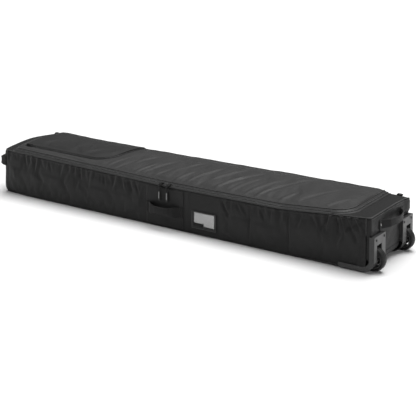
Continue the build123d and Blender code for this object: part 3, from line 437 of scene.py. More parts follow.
def stitch_mesh(path, facing, pitch=4.5, length=3.2):
    """A row of thread stitches lying on a surface: path on the surface, facing away from it."""
    path = np.asarray(path, float)
    count = max(2, int(lengths(path)[-1] / pitch))
    stations = (np.arange(count) + 0.5) * lengths(path)[-1] / count
    middle = at_distances(path, stations)
    heading = unit(at_distances(path, stations + 0.5) - at_distances(path, stations - 0.5))
    facing = np.broadcast_to(np.asarray(facing, float), path.shape)
    away = unit(np.stack([np.interp(stations, lengths(path), facing[:, k]) for k in range(3)], axis=1))
    beside = np.cross(heading, away)
    half = [heading * length / 2, beside * THREAD_WIDTH, away * THREAD_HEIGHT]
    corners = [half[0], half[1], half[2], -half[0], -half[1], -half[2]]
    points = np.stack([middle + c for c in corners], axis=1).reshape(-1, 3)
    stitch = [(0, 1, 2), (1, 3, 2), (3, 4, 2), (4, 0, 2), (1, 0, 5), (3, 1, 5), (4, 3, 5), (0, 4, 5)]
    faces = (np.array(stitch)[None, :, ::-1] + 6 * np.arange(count)[:, None, None]).reshape(-1, 3)
    return points, faces, points[:, :2]


def revolve_mesh(centre, profile, steps=72):
    """A closed profile of (radius, y) pairs turned about an axis along Y."""
    profile = np.asarray(profile, float)
    angle = np.linspace(0, 2 * np.pi, steps, endpoint=False)
    x = centre[0] + profile[:, 0] * np.sin(angle)[:, None]
    z = centre[2] + profile[:, 0] * np.cos(angle)[:, None]
    points = points_at(x, centre[1] + profile[:, 1], z).reshape(-1, 3)
    faces = grid_faces(steps, len(profile), wrap_rows=True, wrap_columns=True)
    return points, faces, points[:, ::2]


# ---- materials
PLASTIC_GRAIN = 0.00006     # depth in metres


class Shader:
    """A node material while it is being put together."""

    def __init__(self, name):
        self.material = bpy.data.materials.new(name)
        self.material.use_nodes = True
        self.tree = self.material.node_tree
        self.surface = self.tree.nodes["Principled BSDF"]

    def feed(self, socket, value):
        """Links a socket to another or sets its value."""
        if isinstance(value, bpy.types.NodeSocket):
            self.tree.links.new(value, socket)
        else:
            socket.default_value = value

    def node(self, kind, inputs=(), **settings):
        """A new node with its inputs fed and its settings made."""
        made = self.tree.nodes.new("ShaderNode" + kind)
        for key, value in settings.items():
            setattr(made, key, value)
        for key, value in dict(inputs).items():
            self.feed(made.inputs[key], value)
        return made

    def place(self, kind, scale=(1, 1, 1)):
        """Texture coordinates in metres, stretched by scale."""
        source = self.node("TexCoord").outputs[kind]
        return self.node("Mapping", {"Vector": source, "Scale": scale}).outputs[0]

    def along(self, axis):
        """Distance along one of the object's axes in metres."""
        place = self.node("TexCoord").outputs["Object"]
        return self.node("SeparateXYZ", {"Vector": place}).outputs[axis]

    def noise(self, place, scale, detail, roughness=0.5):
        inputs = {"Vector": place, "Scale": scale, "Detail": detail, "Roughness": roughness}
        return self.node("TexNoise", inputs).outputs["Fac"]

    def wave(self, place, period, direction):
        """Bands with a period in metres."""
        inputs = {"Vector": place, "Scale": 2 * math.pi / (20 * period)}
        return self.node("TexWave", inputs, bands_direction=direction).outputs["Fac"]

    def maths(self, operation, a, b):
        return self.node("Math", {0: a, 1: b}, operation=operation).outputs[0]

    def plus(self, a, b):
        return self.maths("ADD", a, b)

    def times(self, a, b):
        return self.maths("MULTIPLY", a, b)

    def spread(self, value, low, high, to_low=0.0, to_high=1.0):
        """A value mapped from low..high to another range and kept inside it."""
        inputs = {"Value": value, "From Min": low, "From Max": high, "To Min": to_low, "To Max": to_high}
        return self.node("MapRange", inputs).outputs[0]

    def mix(self, share, a, b):
        return self.node("Mix", {0: share, 6: a, 7: b}, data_type="RGBA").outputs[2]

    def bump(self, height, distance, strength, normal=None):
        made = self.node("Bump", {"Height": height, "Distance": distance, "Strength": strength})
        if normal is not None:
            self.feed(made.inputs["Normal"], normal)
        return made.outputs[0]

    def finish(self, **inputs):
        """Feeds the surface and gives the material."""
        for key, value in inputs.items():
            self.feed(self.surface.inputs[key.replace("_", " ")], value)
        return self.material


def grey(value, warmth=0.0):
    """A grey as a linear colour, a little warm or cold."""
    return (value * (1 + warmth), value, value * (1 - warmth), 1.0)


def woven(name, value, yarn, roughness=0.55, depth=0.00022, contrast=0.35, ribs=None, specular=0.24,
          sheen=0.05):
    """Coated woven cloth: crossed yarns, uneven threads, faint blotches and paler worn ridges."""
    s = Shader(name)
    place = s.place("UV")
    over = s.maths("SUBTRACT", s.times(s.wave(place, yarn, "X"), 2.0), 1.0)
    under = s.maths("SUBTRACT", s.times(s.wave(place, yarn, "Y"), 2.0), 1.0)
    weave = s.plus(s.times(s.times(over, under), 0.5), 0.5)
    warp = s.noise(s.place("UV", (70, 1100, 300)), 1.0, 2.0)
    weft = s.noise(s.place("UV", (1100, 70, 300)), 1.0, 2.0)
    threads = s.times(s.plus(warp, weft), 0.5)
    blotch = s.noise(place, 9.0, 3.0)
    height = s.plus(s.times(weave, 0.5), threads)
    if ribs:
        height = s.plus(height, s.times(s.wave(place, ribs, "X"), 0.8))
    shade = s.plus(s.times(threads, 0.8), s.times(weave, 0.25))
    shade = s.spread(s.plus(shade, s.times(blotch, 0.5)), 0.45, 1.1)
    colour = s.mix(shade, grey(value * (1 - contrast)), grey(value * (1 + contrast), 0.01))
    worn = s.spread(s.node("NewGeometry").outputs["Pointiness"], 0.53, 0.62, 0.0, 0.35)
    colour = s.mix(worn, colour, grey(value * 2.2))
    rough = s.spread(blotch, 0.3, 0.7, roughness - 0.06, roughness + 0.08)
    return s.finish(
        Base_Color=colour, Roughness=rough, Specular_IOR_Level=specular, Sheen_Weight=sheen,
        Sheen_Roughness=0.45, Normal=s.bump(height, depth, 0.8),
    )


def moulded(name, value, roughness, bevel=0.0009, painted_lit_face=None, foot=None):
    """Moulded plastic: spark-eroded grain, softened edges and scuffs. A face painted paler as if lit is
    set by (axis, start, value), and the foot, painted paler towards the bottom as a highlight, by (bottom,
    top, times paler)."""
    s = Shader(name)
    place = s.place("Object")
    rounded = s.node("Bevel", {"Radius": bevel}).outputs[0]
    fine = s.noise(place, 1800.0, 2.0)
    scuff = s.noise(s.place("Object", (60, 60, 14)), 3.0, 5.0, 0.65)
    cloud = s.noise(place, 14.0, 3.0)
    base = s.mix(cloud, grey(value * 0.85), grey(value * 1.15))
    # painted highlight: the rail along the foot is painted paler towards the bottom, as if catching light
    if foot:
        low, top, times = foot
        base = s.mix(s.spread(s.along("Z"), low, top, 1.0, 0.0), base, grey(value * times))
    # painted light: past start along the axis the plastic is painted paler, as if lit
    if painted_lit_face:
        axis, start, painted_light = painted_lit_face
        painted_light = s.mix(cloud, grey(painted_light * 0.93), grey(painted_light * 1.07))
        base = s.mix(s.spread(s.along(axis), start - 0.0002, start + 0.0002), base, painted_light)
    marks = s.spread(scuff, 0.62, 0.75, 0.0, 0.3)
    colour = s.mix(marks, base, grey(value * 1.9 + 0.02))
    edge = s.spread(s.node("NewGeometry").outputs["Pointiness"], 0.52, 0.6, 0.0, 0.4)
    colour = s.mix(edge, colour, grey(value * 1.6 + 0.02))
    rough = s.spread(scuff, 0.3, 0.7, roughness - 0.08, roughness + 0.12)
    return s.finish(
        Base_Color=colour, Roughness=rough, Specular_IOR_Level=0.4,
        Normal=s.bump(fine, PLASTIC_GRAIN, 0.7, rounded),
    )


def metal(name, value, roughness):
    """Brushed metal."""
    s = Shader(name)
    rounded = s.node("Bevel", {"Radius": 0.0005}).outputs[0]
    brushed = s.noise(s.place("Object", (1500, 90, 90)), 1.0, 3.0)
    colour = s.mix(brushed, grey(value * 0.8, 0.02), grey(value * 1.15))
    rough = s.spread(brushed, 0.3, 0.7, roughness, roughness + 0.18)
    surface = s.bump(brushed, 0.00003, 0.5, rounded)
    return s.finish(Base_Color=colour, Metallic=0.9, Roughness=rough, Normal=surface)


def rubber(name, value):
    """Tyre rubber with fine pores and dusty rubbed patches."""
    s = Shader(name)
    place = s.place("Object")
    pores = s.noise(place, 900.0, 4.0, 0.7)
    dust = s.noise(place, 45.0, 4.0, 0.6)
    colour = s.mix(s.spread(dust, 0.45, 0.75, 0.0, 0.6), grey(value), grey(value * 2.3, 0.03))
    return s.finish(
        Base_Color=colour, Roughness=s.spread(dust, 0.3, 0.7, 0.5, 0.72), Specular_IOR_Level=0.4,
        Normal=s.bump(pores, 0.00015, 0.6),
    )


def clear_film(name):
    """Flexible clear film over the card: mostly see-through, with soft waves in its gloss."""
    s = Shader(name)
    waves = s.noise(s.place("Object", (1, 1, 2.5)), 22.0, 2.0)
    return s.finish(
        Base_Color=grey(0.75), Alpha=0.3, Roughness=s.spread(waves, 0.3, 0.7, 0.12, 0.3),
        Normal=s.bump(waves, 0.0012, 0.6),
    )


def paper(name):
    """The blank card in the window: pale grey board, a little paler towards its top."""
    s = Shader(name)
    fibre = s.noise(s.place("Object"), 1300.0, 4.0)
    shade = s.spread(s.node("SeparateXYZ", {"Vector": s.place("Object")}).outputs["Z"], 0.037, 0.086)
    colour = s.mix(fibre, grey(0.29), grey(0.35, 0.01))
    colour = s.mix(s.times(shade, 0.35), colour, grey(0.42))
    return s.finish(Base_Color=colour, Roughness=0.75, Normal=s.bump(fibre, 0.00005, 0.5))


SHELL = woven("shell_weave", 0.0105, 0.0016)
# the lid is the walls' cloth at about twice the value: painted light, the top made paler as it is lit from
# above
LID = woven("lid_weave_painted_lit", 0.0205, 0.0016)
POCKET = woven("pocket_weave", 0.0115, 0.0016, specular=0.20)
PANEL = woven("panel_weave", 0.0100, 0.0011, roughness=0.55)
END_TOP = woven("end_top_weave", 0.0090, 0.0011, roughness=0.62, specular=0.14)
LINING = woven("lining_weave", 0.045, 0.0009, roughness=0.7, sheen=0.2)
WEBBING = woven(
    "webbing_weave", 0.0115, 0.0022, roughness=0.62, depth=0.0004, contrast=0.5, ribs=0.0036, specular=0.18,
)
TAPE = woven("zip_tape_weave", 0.0170, 0.0009, roughness=0.5, contrast=0.25)
# the piping is a real part; its pale value is a painted highlight, standing in for the light lines along the
# rounded seams
PIPING = woven("piping_cloth", 0.0460, 0.0012, roughness=0.45)
BINDING = woven("binding_cloth", 0.0200, 0.0010, roughness=0.5)
FRAME = woven("window_frame_weave", 0.0240, 0.0010, roughness=0.6)
LABEL = woven("label_weave", 0.0065, 0.0010, roughness=0.6)
CORD = woven("cord_braid", 0.014, 0.0012, depth=0.0005, contrast=0.5)
GRIP = woven("grip_cloth", 0.0140, 0.0020, roughness=0.8, depth=0.0005)
THREAD = woven("thread", 0.034, 0.0004, roughness=0.5, depth=0.0001)
COIL = moulded("coil_nylon", 0.004, roughness=0.35, bevel=0.0002)
SLIDER = metal("slider_metal", 0.035, 0.30)
STEEL = metal("steel", 0.42, 0.25)
SCREW = metal("black_screw", 0.03, 0.35)
# the housings' end face is painted paler as if lit, and their rail is painted paler as a highlight
HOUSING = moulded(
    "housing_plastic", 0.019, 0.48, painted_lit_face=("X", PLATE_FACE, 0.150), foot=(0.012, 0.050, 2.6),
)
BOARD = moulded("board_plastic", 0.035, 0.6)
BUCKLE = moulded("buckle_plastic", 0.016, 0.42)
HUB = moulded("hub_plastic", 0.030, 0.45)
PULL = moulded("pull_rubber", 0.018, 0.6)
# pale grey for the strip down the zip pulls' grips: a painted highlight
PULL_HIGHLIGHT_PAINT = moulded("pull_painted_highlight", 0.24, 0.5)
TYRE = rubber("tyre_rubber", 0.008)
PANE = clear_film("window_film")
CARD = paper("window_card")


def finish_node(name, material):
    """Gives a CAD node its material."""
    mesh = nodes[name].data
    mesh.materials.clear()
    mesh.materials.append(material)
    mesh.shade_smooth()
    mesh.set_sharp_from_angle(angle=math.radians(35))


for node_name, material in {
    "wheel_housing_front": HOUSING, "wheel_housing_rear": HOUSING, "housing_screws": SCREW,
    "wheel_spacers": STEEL, "axle_front": STEEL, "axle_rear": STEEL,
    "wheel_front_bearings": STEEL, "wheel_rear_bearings": STEEL, "tow_handle_rivets": STEEL,
    "zip_slider_tail": SLIDER, "zip_slider_wheel": SLIDER, "pocket_slider": SLIDER,
    "end_stiffener": BOARD, "base_board": BOARD, "strap_sockets": BUCKLE,
    "strap_plug_tail": BUCKLE, "strap_plug_wheel": BUCKLE,
    "id_window_pane": PANE, "id_card": CARD,
}.items():
    finish_node(node_name, material)


# ---- cloth
BROAD = 34.0        # swelling wider than this is capped, and folds narrower than this are kept
CLOTH_STEP = 6.5    # between the simulated cloth's points
CLOTH_FRAMES = 18
PADDING_PRESSURE = 1.5


def blurred(field, reach):
    """A field averaged over a square of cells, three times over."""
    for _ in range(3):
        for axis in (0, 1):
            padded = np.pad(field, [(reach, reach) if k == axis else (0, 0) for k in (0, 1)], mode="edge")
            total = np.cumsum(np.concatenate([np.zeros_like(padded.take([0], axis)), padded], axis), axis)
            count = field.shape[axis]
            width = 2 * reach + 1
            field = (total.take(range(width, width + count), axis) - total.take(range(count), axis)) / width
    return field


def settled(u_range, v_range, relief, free, growth, cap, gain):
    """Simulates a padded panel laid out flat: cloth cut too large for its seams by the share growth
    and pushed out by its padding. relief(u, v) is its starting height, and free(u, v) is 0 where it
    is sewn down and 1 away from the seams. Small folds are raised by gain and limited by cap.
    Returns a function that gives how far the cloth has risen."""
    u_line = np.linspace(*u_range, int((u_range[1] - u_range[0]) / CLOTH_STEP) + 1)
    v_line = np.linspace(*v_range, int((v_range[1] - v_range[0]) / CLOTH_STEP) + 1)
    u, v = np.meshgrid(u_line, v_line, indexing="ij")
    start = np.dstack([u, v, relief(u, v)])
    mesh = bpy.data.meshes.new("cloth")
    mesh.from_pydata((start.reshape(-1, 3) * MM).tolist(), [], grid_faces(*u.shape).tolist())
    cloth = bpy.data.objects.new("cloth", mesh)
    bpy.context.scene.collection.objects.link(cloth)
    hold = 1 - free(u, v)
    hold[0], hold[-1], hold[:, 0], hold[:, -1] = 1, 1, 1, 1
    group = cloth.vertex_groups.new(name="held")
    for index, weight in enumerate(hold.ravel()):
        if weight > 0.01:
            group.add([index], float(weight), "REPLACE")
    modifier = cloth.modifiers.new("cloth", "CLOTH")
    settings = modifier.settings
    settings.quality = 5
    settings.mass = 0.2
    settings.tension_stiffness = 15
    settings.compression_stiffness = 15
    settings.shear_stiffness = 5
    settings.bending_stiffness = 0.05
    settings.vertex_group_mass = "held"
    settings.shrink_min = -growth
    settings.use_pressure = True
    settings.uniform_pressure_force = PADDING_PRESSURE
    settings.effector_weights.gravity = 0
    for step in range(1, CLOTH_FRAMES + 1):
        bpy.context.scene.frame_set(step)
    evaluated = cloth.evaluated_get(bpy.context.evaluated_depsgraph_get())
    result = evaluated.to_mesh()
    points = np.zeros(u.size * 3, np.float32)
    result.vertices.foreach_get("co", points)
    evaluated.to_mesh_clear()
    rise = points.reshape(start.shape)[..., 2] / MM - start[..., 2]
    bpy.data.objects.remove(cloth)
    bpy.context.scene.frame_set(1)
    broad = blurred(rise, int(BROAD / CLOTH_STEP))
    fine = cap * np.tanh(gain * (rise - broad) / cap)
    rise = (cap * np.tanh(broad / (2 * cap)) + fine) * (1 - hold)

    def risen(at_u, at_v):
        across = np.clip((at_u - u_range[0]) / (u_line[1] - u_line[0]), 0, len(u_line) - 1.001)
        along = np.clip((at_v - v_range[0]) / (v_line[1] - v_line[0]), 0, len(v_line) - 1.001)
        i, j = across.astype(int), along.astype(int)
        a, b = across - i, along - j
        a, b = smooth(a, 0, 1), smooth(b, 0, 1)
        near = rise[i, j] * (1 - b) + rise[i, j + 1] * b
        far = rise[i + 1, j] * (1 - b) + rise[i + 1, j + 1] * b
        return near * (1 - a) + far * a

    return risen


# ---- walls
FOOT_ROLL, FOOT_DEPTH = 15.0, 5.5      # the walls curve in over this height above their foot
TAIL_ROLL, TAIL_DEPTH = 17.0, 9.0      # and by this much more round the tail
TOP_ROLL, TOP_DEPTH = 10.0, 4.6        # and below their top seam
RIM = 2.4                              # from the footprint in to the top seam
WALL_ROWS = 40
WALL_CLOTH, TOP_CLOTH = 2.5, 2.2       # thickness of the cloth with its backing
PANEL_REAR = 162.0                     # the top panels at both ends stop short of the rear seam
WELL_HALF, WELL_TOP = 27.5, 98.5       # half width and top of the wheel wells
END_FOOT = 45.6                        # the wheel-end wall's foot between the wells
PULL_ROOM, PULL_SLACK = 2.0, 2.6       # how far the wall may swell under the zip's pulls


def heights(low, top, count):
    """Heights up a wall, closer together near both seams, for each place along it."""
    t = 0.5 - 0.5 * np.cos(np.linspace(0, math.pi, count))
    return low[:, None] + (top - low)[:, None] * t[None]


def turned(away, radius, depth):
    """How far cloth has turned in at a distance from its seam."""
    t = np.clip(1 - away / radius, 0, 1)
    return depth * (1 - np.sqrt(1 - t**2))


def tail_share(x):
    """1 round the tail of the bag, 0 from a little way along it."""
    return smooth(x, -700, -835)


def rolled(x, z, low, top):
    """How far a panel has turned in near its lower and upper seams."""
    tail = tail_share(x)
    foot = turned(z - low[:, None], FOOT_ROLL + TAIL_ROLL * tail, FOOT_DEPTH + TAIL_DEPTH * tail)
    return foot + turned(top[:, None] - z, TOP_ROLL, TOP_DEPTH)


def moved_out(x, y, z, away, out):
    """A wall grid moved out along its plan normals."""
    return points_at(x + away[:, :1] * out, y + away[:, 1:] * out, z)


def wall_grid(path, low, top, swell):
    """The outer face of a wall: a plan path, its lower and upper edges and its swelling."""
    z = heights(low, top, WALL_ROWS)
    x, y = path[:, :1] + 0 * z, path[:, 1:] + 0 * z
    return moved_out(x, y, z, outward(path), swell(x, y, z) - rolled(x, z, low, top))


def patch_zone(x):
    """0 where the handle panel and the window lie on the front wall, 1 away from them."""
    handle = smooth(np.abs(x - 6), 90, 125)
    window = smooth(np.abs(x - 185), 60, 90)
    return np.minimum(handle, window)


# folds on the front wall: under the zip's corner, and pulled up to the sewn-on parts
FRONT_FOLDS = [
    (738, 204, 762, 116, 4.0, 3.4), (758, 206, 794, 122, 4.0, 3.4), (724, 200, 730, 116, 4.2, -2.6),
    (782, 208, 822, 134, 4.2, 2.8), (708, 200, 690, 118, 4.4, 2.6), (776, 166, 802, 96, 6.0, -2.0),
    (690, 168, 672, 130, 4.6, -1.8), (755, 122, 730, 70, 7.0, 1.5),
    (640, 168, 660, 120, 6.0, 1.5), (590, 163, 575, 108, 6.5, -1.5), (470, 158, 486, 96, 7.0, 1.6),
    (384, 156, 380, 10, 3.0, -1.7), (541, 160, 541, 12, 3.0, -1.7), (300, 156, 318, 98, 6.0, 1.4),
    (255, 156, 296, 92, 5.0, -2.6), (262, 40, 330, 22, 6.5, 1.5), (110, 152, 122, 90, 5.5, 1.4),
    (-96, 150, -118, 84, 5.5, 1.6), (-110, 60, -190, 36, 7.0, 1.5), (-170, 160, -150, 108, 6.0, -1.6),
    (-228, 163, -244, 100, 6.5, 1.7), (-300, 164, -286, 112, 5.5, -1.5), (-352, 166, -366, 96, 6.5, 1.6),
    (-430, 168, -418, 116, 6.0, -1.5), (-506, 170, -524, 98, 7.0, 1.6), (-590, 172, -576, 120, 6.0, -1.4),
    (-655, 174, -668, 104, 7.0, 1.5), (-735, 178, -720, 126, 6.0, -1.4), (-800, 178, -786, 60, 8.0, 1.2),
    (-640, 60, -520, 40, 9.0, 1.2), (-380, 44, -250, 34, 9.0, -1.2), (420, 50, 520, 36, 9.0, 1.2),
    (-420, 104, -100, 101, 2.6, -1.3), (244, 103, 470, 99, 2.6, -1.3), (-200, 158, -172, 92, 4.2, 1.9),
    (-140, 156, -112, 100, 4.0, -1.7), (330, 154, 366, 108, 4.4, 1.8), (420, 156, 446, 104, 4.4, -1.6),
]


def front_relief(x, z):
    """The front wall's puckers under the zip, its waviness and its folds."""
    below = seam_height(x) - z
    gathers = np.sin(x / 5.2 + 2.4 * np.sin(x / 61)) * (0.55 + 0.45 * np.sin(x / 37 + 1))
    puckers = 2.7 * smooth(below, 54, 10) * smooth(below, 0, 9) * gathers
    folds = (1.9 + 0.9 * smooth(x, 560, 680)) * creases(x, z, FRONT_FOLDS)
    return puckers + ripples(x, z * 1.4, 11, 150, 0.9) + ripples(x, z, 12, 52, 0.4) + folds


def front_free(x, z):
    """0 at the front wall's seams and patches, 1 away from them."""
    return patch_zone(x) * smooth(np.minimum(z - 3, seam_height(x) - z), 4, 18)


front_risen = settled(
    (TAIL_SEAM, END_SEAM), (0, 190), front_relief, front_free, growth=0.011, cap=3.2, gain=1.5,
)


def front_swell(x, y, z):
    """How far the front wall stands out, with less room for swelling where the zip's pulls travel."""
    belly = 2.2 * np.sin(np.pi * np.clip(z / seam_height(x), 0, 1)) ** 0.6
    risen = front_risen(x, z) * (0.45 + 0.55 * smooth(z, 50, 115))
    swell = patch_zone(x) * (belly + front_relief(x, z) + risen) - 0.3
    held = PULL_ROOM + PULL_SLACK * np.tanh(np.maximum(swell - PULL_ROOM, 0) / PULL_SLACK)
    passed = smooth(seam_height(x) - z, 74, 64) * smooth(x, 540, 505)
    return np.where(swell > PULL_ROOM, swell * (1 - passed) + held * passed, swell)


REAR_FOLDS = []
for step in range(17):
    fold_top = step * 95 - 790
    REAR_FOLDS.append((fold_top, 176, fold_top + 15 + 9 * (step % 3), 100, 7, 1.4 * (-1) ** step))
TAIL_FOLDS = [
    (-120, 170, -96, 90, 8, 1.8), (40, 176, 22, 80, 9, -1.6),
    (118, 168, 100, 96, 7, 1.6), (-40, 60, 60, 40, 9, 1.3),
]


def rear_swell(x, y, z):
    """How far the rear wall stands out between its upright seams."""
    belly = 2.4 * np.sin(np.pi * np.clip(z / REAR_TOP, 0, 1)) ** 0.6
    seams = -2.0 * np.exp(-(((np.abs(x - 80) - 360) / 2.4) ** 2))
    folds = creases(x, z, REAR_FOLDS)
    return belly + seams + folds + ripples(x, z * 1.4, 21, 160, 1.0) + ripples(x, z, 22, 55, 0.4)


def tail_swell(x, y, z):
    """How far the wall round the tail stands out."""
    belly = 2.0 * np.sin(np.pi * np.clip(z / SEAM_TAIL, 0, 1)) ** 0.7
    return belly + ripples(y, z, 31, 90, 0.7) + creases(y, z, TAIL_FOLDS)


def end_swell(x, y, z):
    """How far the wheel-end wall stands out: flat at its corners and under the tow handle's ends."""
    middle = np.exp(-((y / 62) ** 4)) * np.sin(np.pi * np.clip((z - 46) / 138, 0, 1))
    anchors = np.exp(-(((np.abs(y) - 93) / 16) ** 2)) * np.exp(-(((z - TOW_Z) / 22) ** 2))
    corner = smooth(np.abs(y), 150, 162)
    return (4.0 * middle + ripples(y, z, 41, 60, 0.6)) * (1 - anchors) * (1 - corner) - 0.5


def corner_drop(y):
    """How far the top of the wheel end falls away towards its rear corner."""
    return 2.5 * smooth(y, 40, 120) + turned(HALF_WIDTH - y, 34, 15)


front_path = footprint_front()
front_foot = underside(front_path[:, 0])
front_low = np.where(front_path[:, 0] > RAIL_START - 1, np.maximum(6.9, front_foot), front_foot + 1.0)
front_top = seam_height(front_path[:, 0]) - 0.5
front_wall = wall_grid(front_path, front_low, front_top, front_swell)
sewn_cloth("front_wall_cloth", front_wall, WALL_CLOTH, SHELL, "front_wall")

rear_path = footprint_front()[::-1] * (1, -1)
rear_top_line = REAR_TOP - smooth(rear_path[:, 0], 740, 835) * 17.0
rear_wall = wall_grid(rear_path, front_low[::-1], rear_top_line, rear_swell)
sewn_cloth("rear_wall_cloth", rear_wall, WALL_CLOTH, SHELL, "rear_wall")

tail_path = footprint_tail()
tail_top_line = seam_height(tail_path[:, 0]) + 0.5
tail_wall = wall_grid(tail_path, np.full(len(tail_path), 1.0), tail_top_line, tail_swell)
sewn_cloth("tail_wall_cloth", tail_wall, WALL_CLOTH, SHELL, "tail_wall")

end_path = footprint_wheel_end()
over_well = np.abs(np.abs(end_path[:, 1]) - WHEEL_Y) < WELL_HALF
end_runs = np.split(np.arange(len(end_path)), np.where(np.diff(over_well.astype(int)))[0] + 1)


def end_wall_grid(run, foot):
    """One stretch of the wheel-end wall, from its foot up to the top seam."""
    path = end_path[run]
    top = seam_height(path[:, 0]) + 0.5 - corner_drop(path[:, 1])
    z = heights(np.full(len(run), foot), top, 36)
    x, y = path[:, :1] + 0 * z, path[:, 1:] + 0 * z
    out = end_swell(x, y, z) - turned(top[:, None] - z, TOP_ROLL, TOP_DEPTH)
    x = x - rear_bulge(y) * smooth(x, 834, 846) * (1 - smooth(z, 125, 146))
    return moved_out(x, y, z, outward(end_path)[run], out)


# the wall stops above the wells on both sides and comes down to the base between them
end_grids = [end_wall_grid(run, END_FOOT) for run in end_runs if not over_well[run[0]]]
for run in end_runs:
    if over_well[run[0]]:
        widened = np.arange(max(run[0] - 1, 0), min(run[-1] + 2, len(end_path)))
        end_grids.append(end_wall_grid(widened, WELL_TOP))
sewn_cloth("wheel_end_wall_cloth", end_grids, WALL_CLOTH, SHELL, "wheel_end_wall")


# ---- base
def base_grid(low_x, high_x, half_y, arched):
    """Underside of the bag between two places along it, wound to face down."""
    x_line = np.arange(low_x, high_x + 1, 5.0)
    ramp_end = HALF_LENGTH - END_RADIUS
    if high_x > ramp_end:
        angle = np.linspace(0, math.pi / 2, 14)
        x_line = np.concatenate([x_line[x_line < ramp_end], ramp_end + END_RADIUS * np.sin(angle)])
    y_line = np.linspace(half_y, -half_y, max(12, int(half_y / 3)))
    x, y = np.meshgrid(x_line, y_line, indexing="ij")
    if arched:
        reach = smooth(x, low_x + 200, low_x)
        tail = TAIL_BULGE * (1 - (y / HALF_WIDTH) ** 2)
        square = smooth(np.abs(y), half_y - 14, half_y) ** 2 * 10
        x = x - reach * (tail - square - TAIL_DEPTH)
        y = y * (1 - tail_share(x) * TAIL_DEPTH / HALF_WIDTH)
    z = underside(x)
    middle = np.exp(-((y / (half_y * 0.75)) ** 4))
    lift = 0.5 * (1 - middle) + 0.25 * (1 + np.sin(x / 90) * np.sin(y / 50))
    return np.stack([x, y, z + np.where(z < 8, lift, 0)], axis=-1)


base_grids = [base_grid(-844, 731, 160.5, True), base_grid(731.5, 850, 76.5, False)]
sewn_cloth("base_cloth", base_grids, 2.5, PANEL, "bottom_panel")


# ---- top panels at both ends
def wheel_rise(path):
    """How the top panel's edges fall away towards the rear corner of the wheel end."""
    return -corner_drop(path[:, 1]) * smooth(path[:, 0], 770, 850)


def rear_rise(path):
    """How the tail's top panel climbs towards the rear."""
    return 2.0 * smooth(path[:, 1], 90, 160)


def top_panel(outer, inner, rise, count, puff):
    """A panel from the bag's rim in to the zip, puffed up between them."""
    outer = resample(outer, 4)
    inner = evenly(inner, len(outer))
    share = np.linspace(0, 1, count)
    grid = ruled(over_seam(outer, 1.2 + rise(outer)), over_seam(inner, 2.6 + rise(inner)), share)
    grid[..., 2] += puff * np.sin(np.pi * share) ** 0.7
    return grid


zip_outer = lid_path(TAPE_WIDTH + 0.5)
zip_outer = zip_outer[zip_outer[:, 1] < PANEL_REAR]
tail_rim = footprint_tail(RIM)
tail_rim = tail_rim[tail_rim[:, 1] < PANEL_REAR]
tail_rim = np.vstack([[(LID_TAIL, PANEL_REAR)], tail_rim, [(LID_TAIL, RIM - HALF_WIDTH)]])
tail_panel = top_panel(tail_rim, zip_outer[zip_outer[:, 0] < LID_TAIL], rear_rise, 14, 1.8)
sewn_cloth("tail_top_cloth", tail_panel, TOP_CLOTH, END_TOP, "tail_top_panel", planar_uv=True)

wheel_rim = footprint_wheel_end(RIM)
wheel_rim = wheel_rim[(wheel_rim[:, 0] > END_SEAM) & (wheel_rim[:, 1] < PANEL_REAR)]
wheel_rim = np.vstack([[(LID_WHEEL - LID_CORNER, RIM - HALF_WIDTH)], wheel_rim])
wheel_panel = top_panel(wheel_rim, zip_outer[zip_outer[:, 0] > LID_WHEEL - LID_CORNER], wheel_rise, 18, 2.2)
wheel_panel[..., 2] += ripples(wheel_panel[..., 0], wheel_panel[..., 1], 51, 60, 0.5)
sewn_cloth("wheel_end_top_cloth", wheel_panel, TOP_CLOTH, END_TOP, "wheel_end_top_panel", planar_uv=True)


# ---- zip: tapes, coils and their seams
ZIP_PITCH = 2.7
TAPE_THICKNESS = 1.6
# profiles of the tapes: (distance out from the zip's middle, height over the seam)
BODY_TAPE = [(12.4, 0.9), (11.4, 1.8), (8, 3.2), (4, 4.8), (2.2, 5.2), (1.2, 5.0)]
LID_TAPE = [(-1.2, 5.6), (-2.2, 6.6), (-5, 8.2), (-8.5, 10.2), (-11, 11.2), (-12.5, 11.4)]


def tape_grid(profile):
    """A ribbon round the lid's zipped sides. Its profile runs inward: (distance out, height)."""
    return ribbon([over_seam(lid_path(grow), rise) for grow, rise in profile])


for body, profile in (("shell", BODY_TAPE), ("lid", LID_TAPE)):
    place = {"shell": "body", "lid": "lid"}[body]
    sheet(f"{place}_zip_tape_cloth", tape_grid(profile), TAPE_THICKNESS, TAPE, body,
          replaces=(f"{place}_zip_tape",), slot="zip_tape")


def coil(name, grow, rise, node, body):
    """A spiral coil: a thick cord whose turns stand out at the zip's pitch."""
    line = over_seam(lid_path(grow, 0.9), rise)
    turns = 1.55 + 0.4 * np.sin(2 * math.pi * lengths(line) / ZIP_PITCH)
    return tube(name, line, turns, COIL, body, sides=7, replaces=(node,), slot="zip_tape")


# a dark cord between the body's zip tape and the rim: painted shade, the shadow line along the seam under
# the zip band
tube("body_zip_painted_shadow", over_seam(lid_path(TAPE_WIDTH + 0.9), 2.2), 1.25, COIL, "shell", slot="zip_tape")
coil("body_zip_coil_turns", 1.7, 5.6, "body_zip_coil", "shell")
coil("lid_zip_coil_turns", -1.5, 5.8, "lid_zip_coil", "lid")


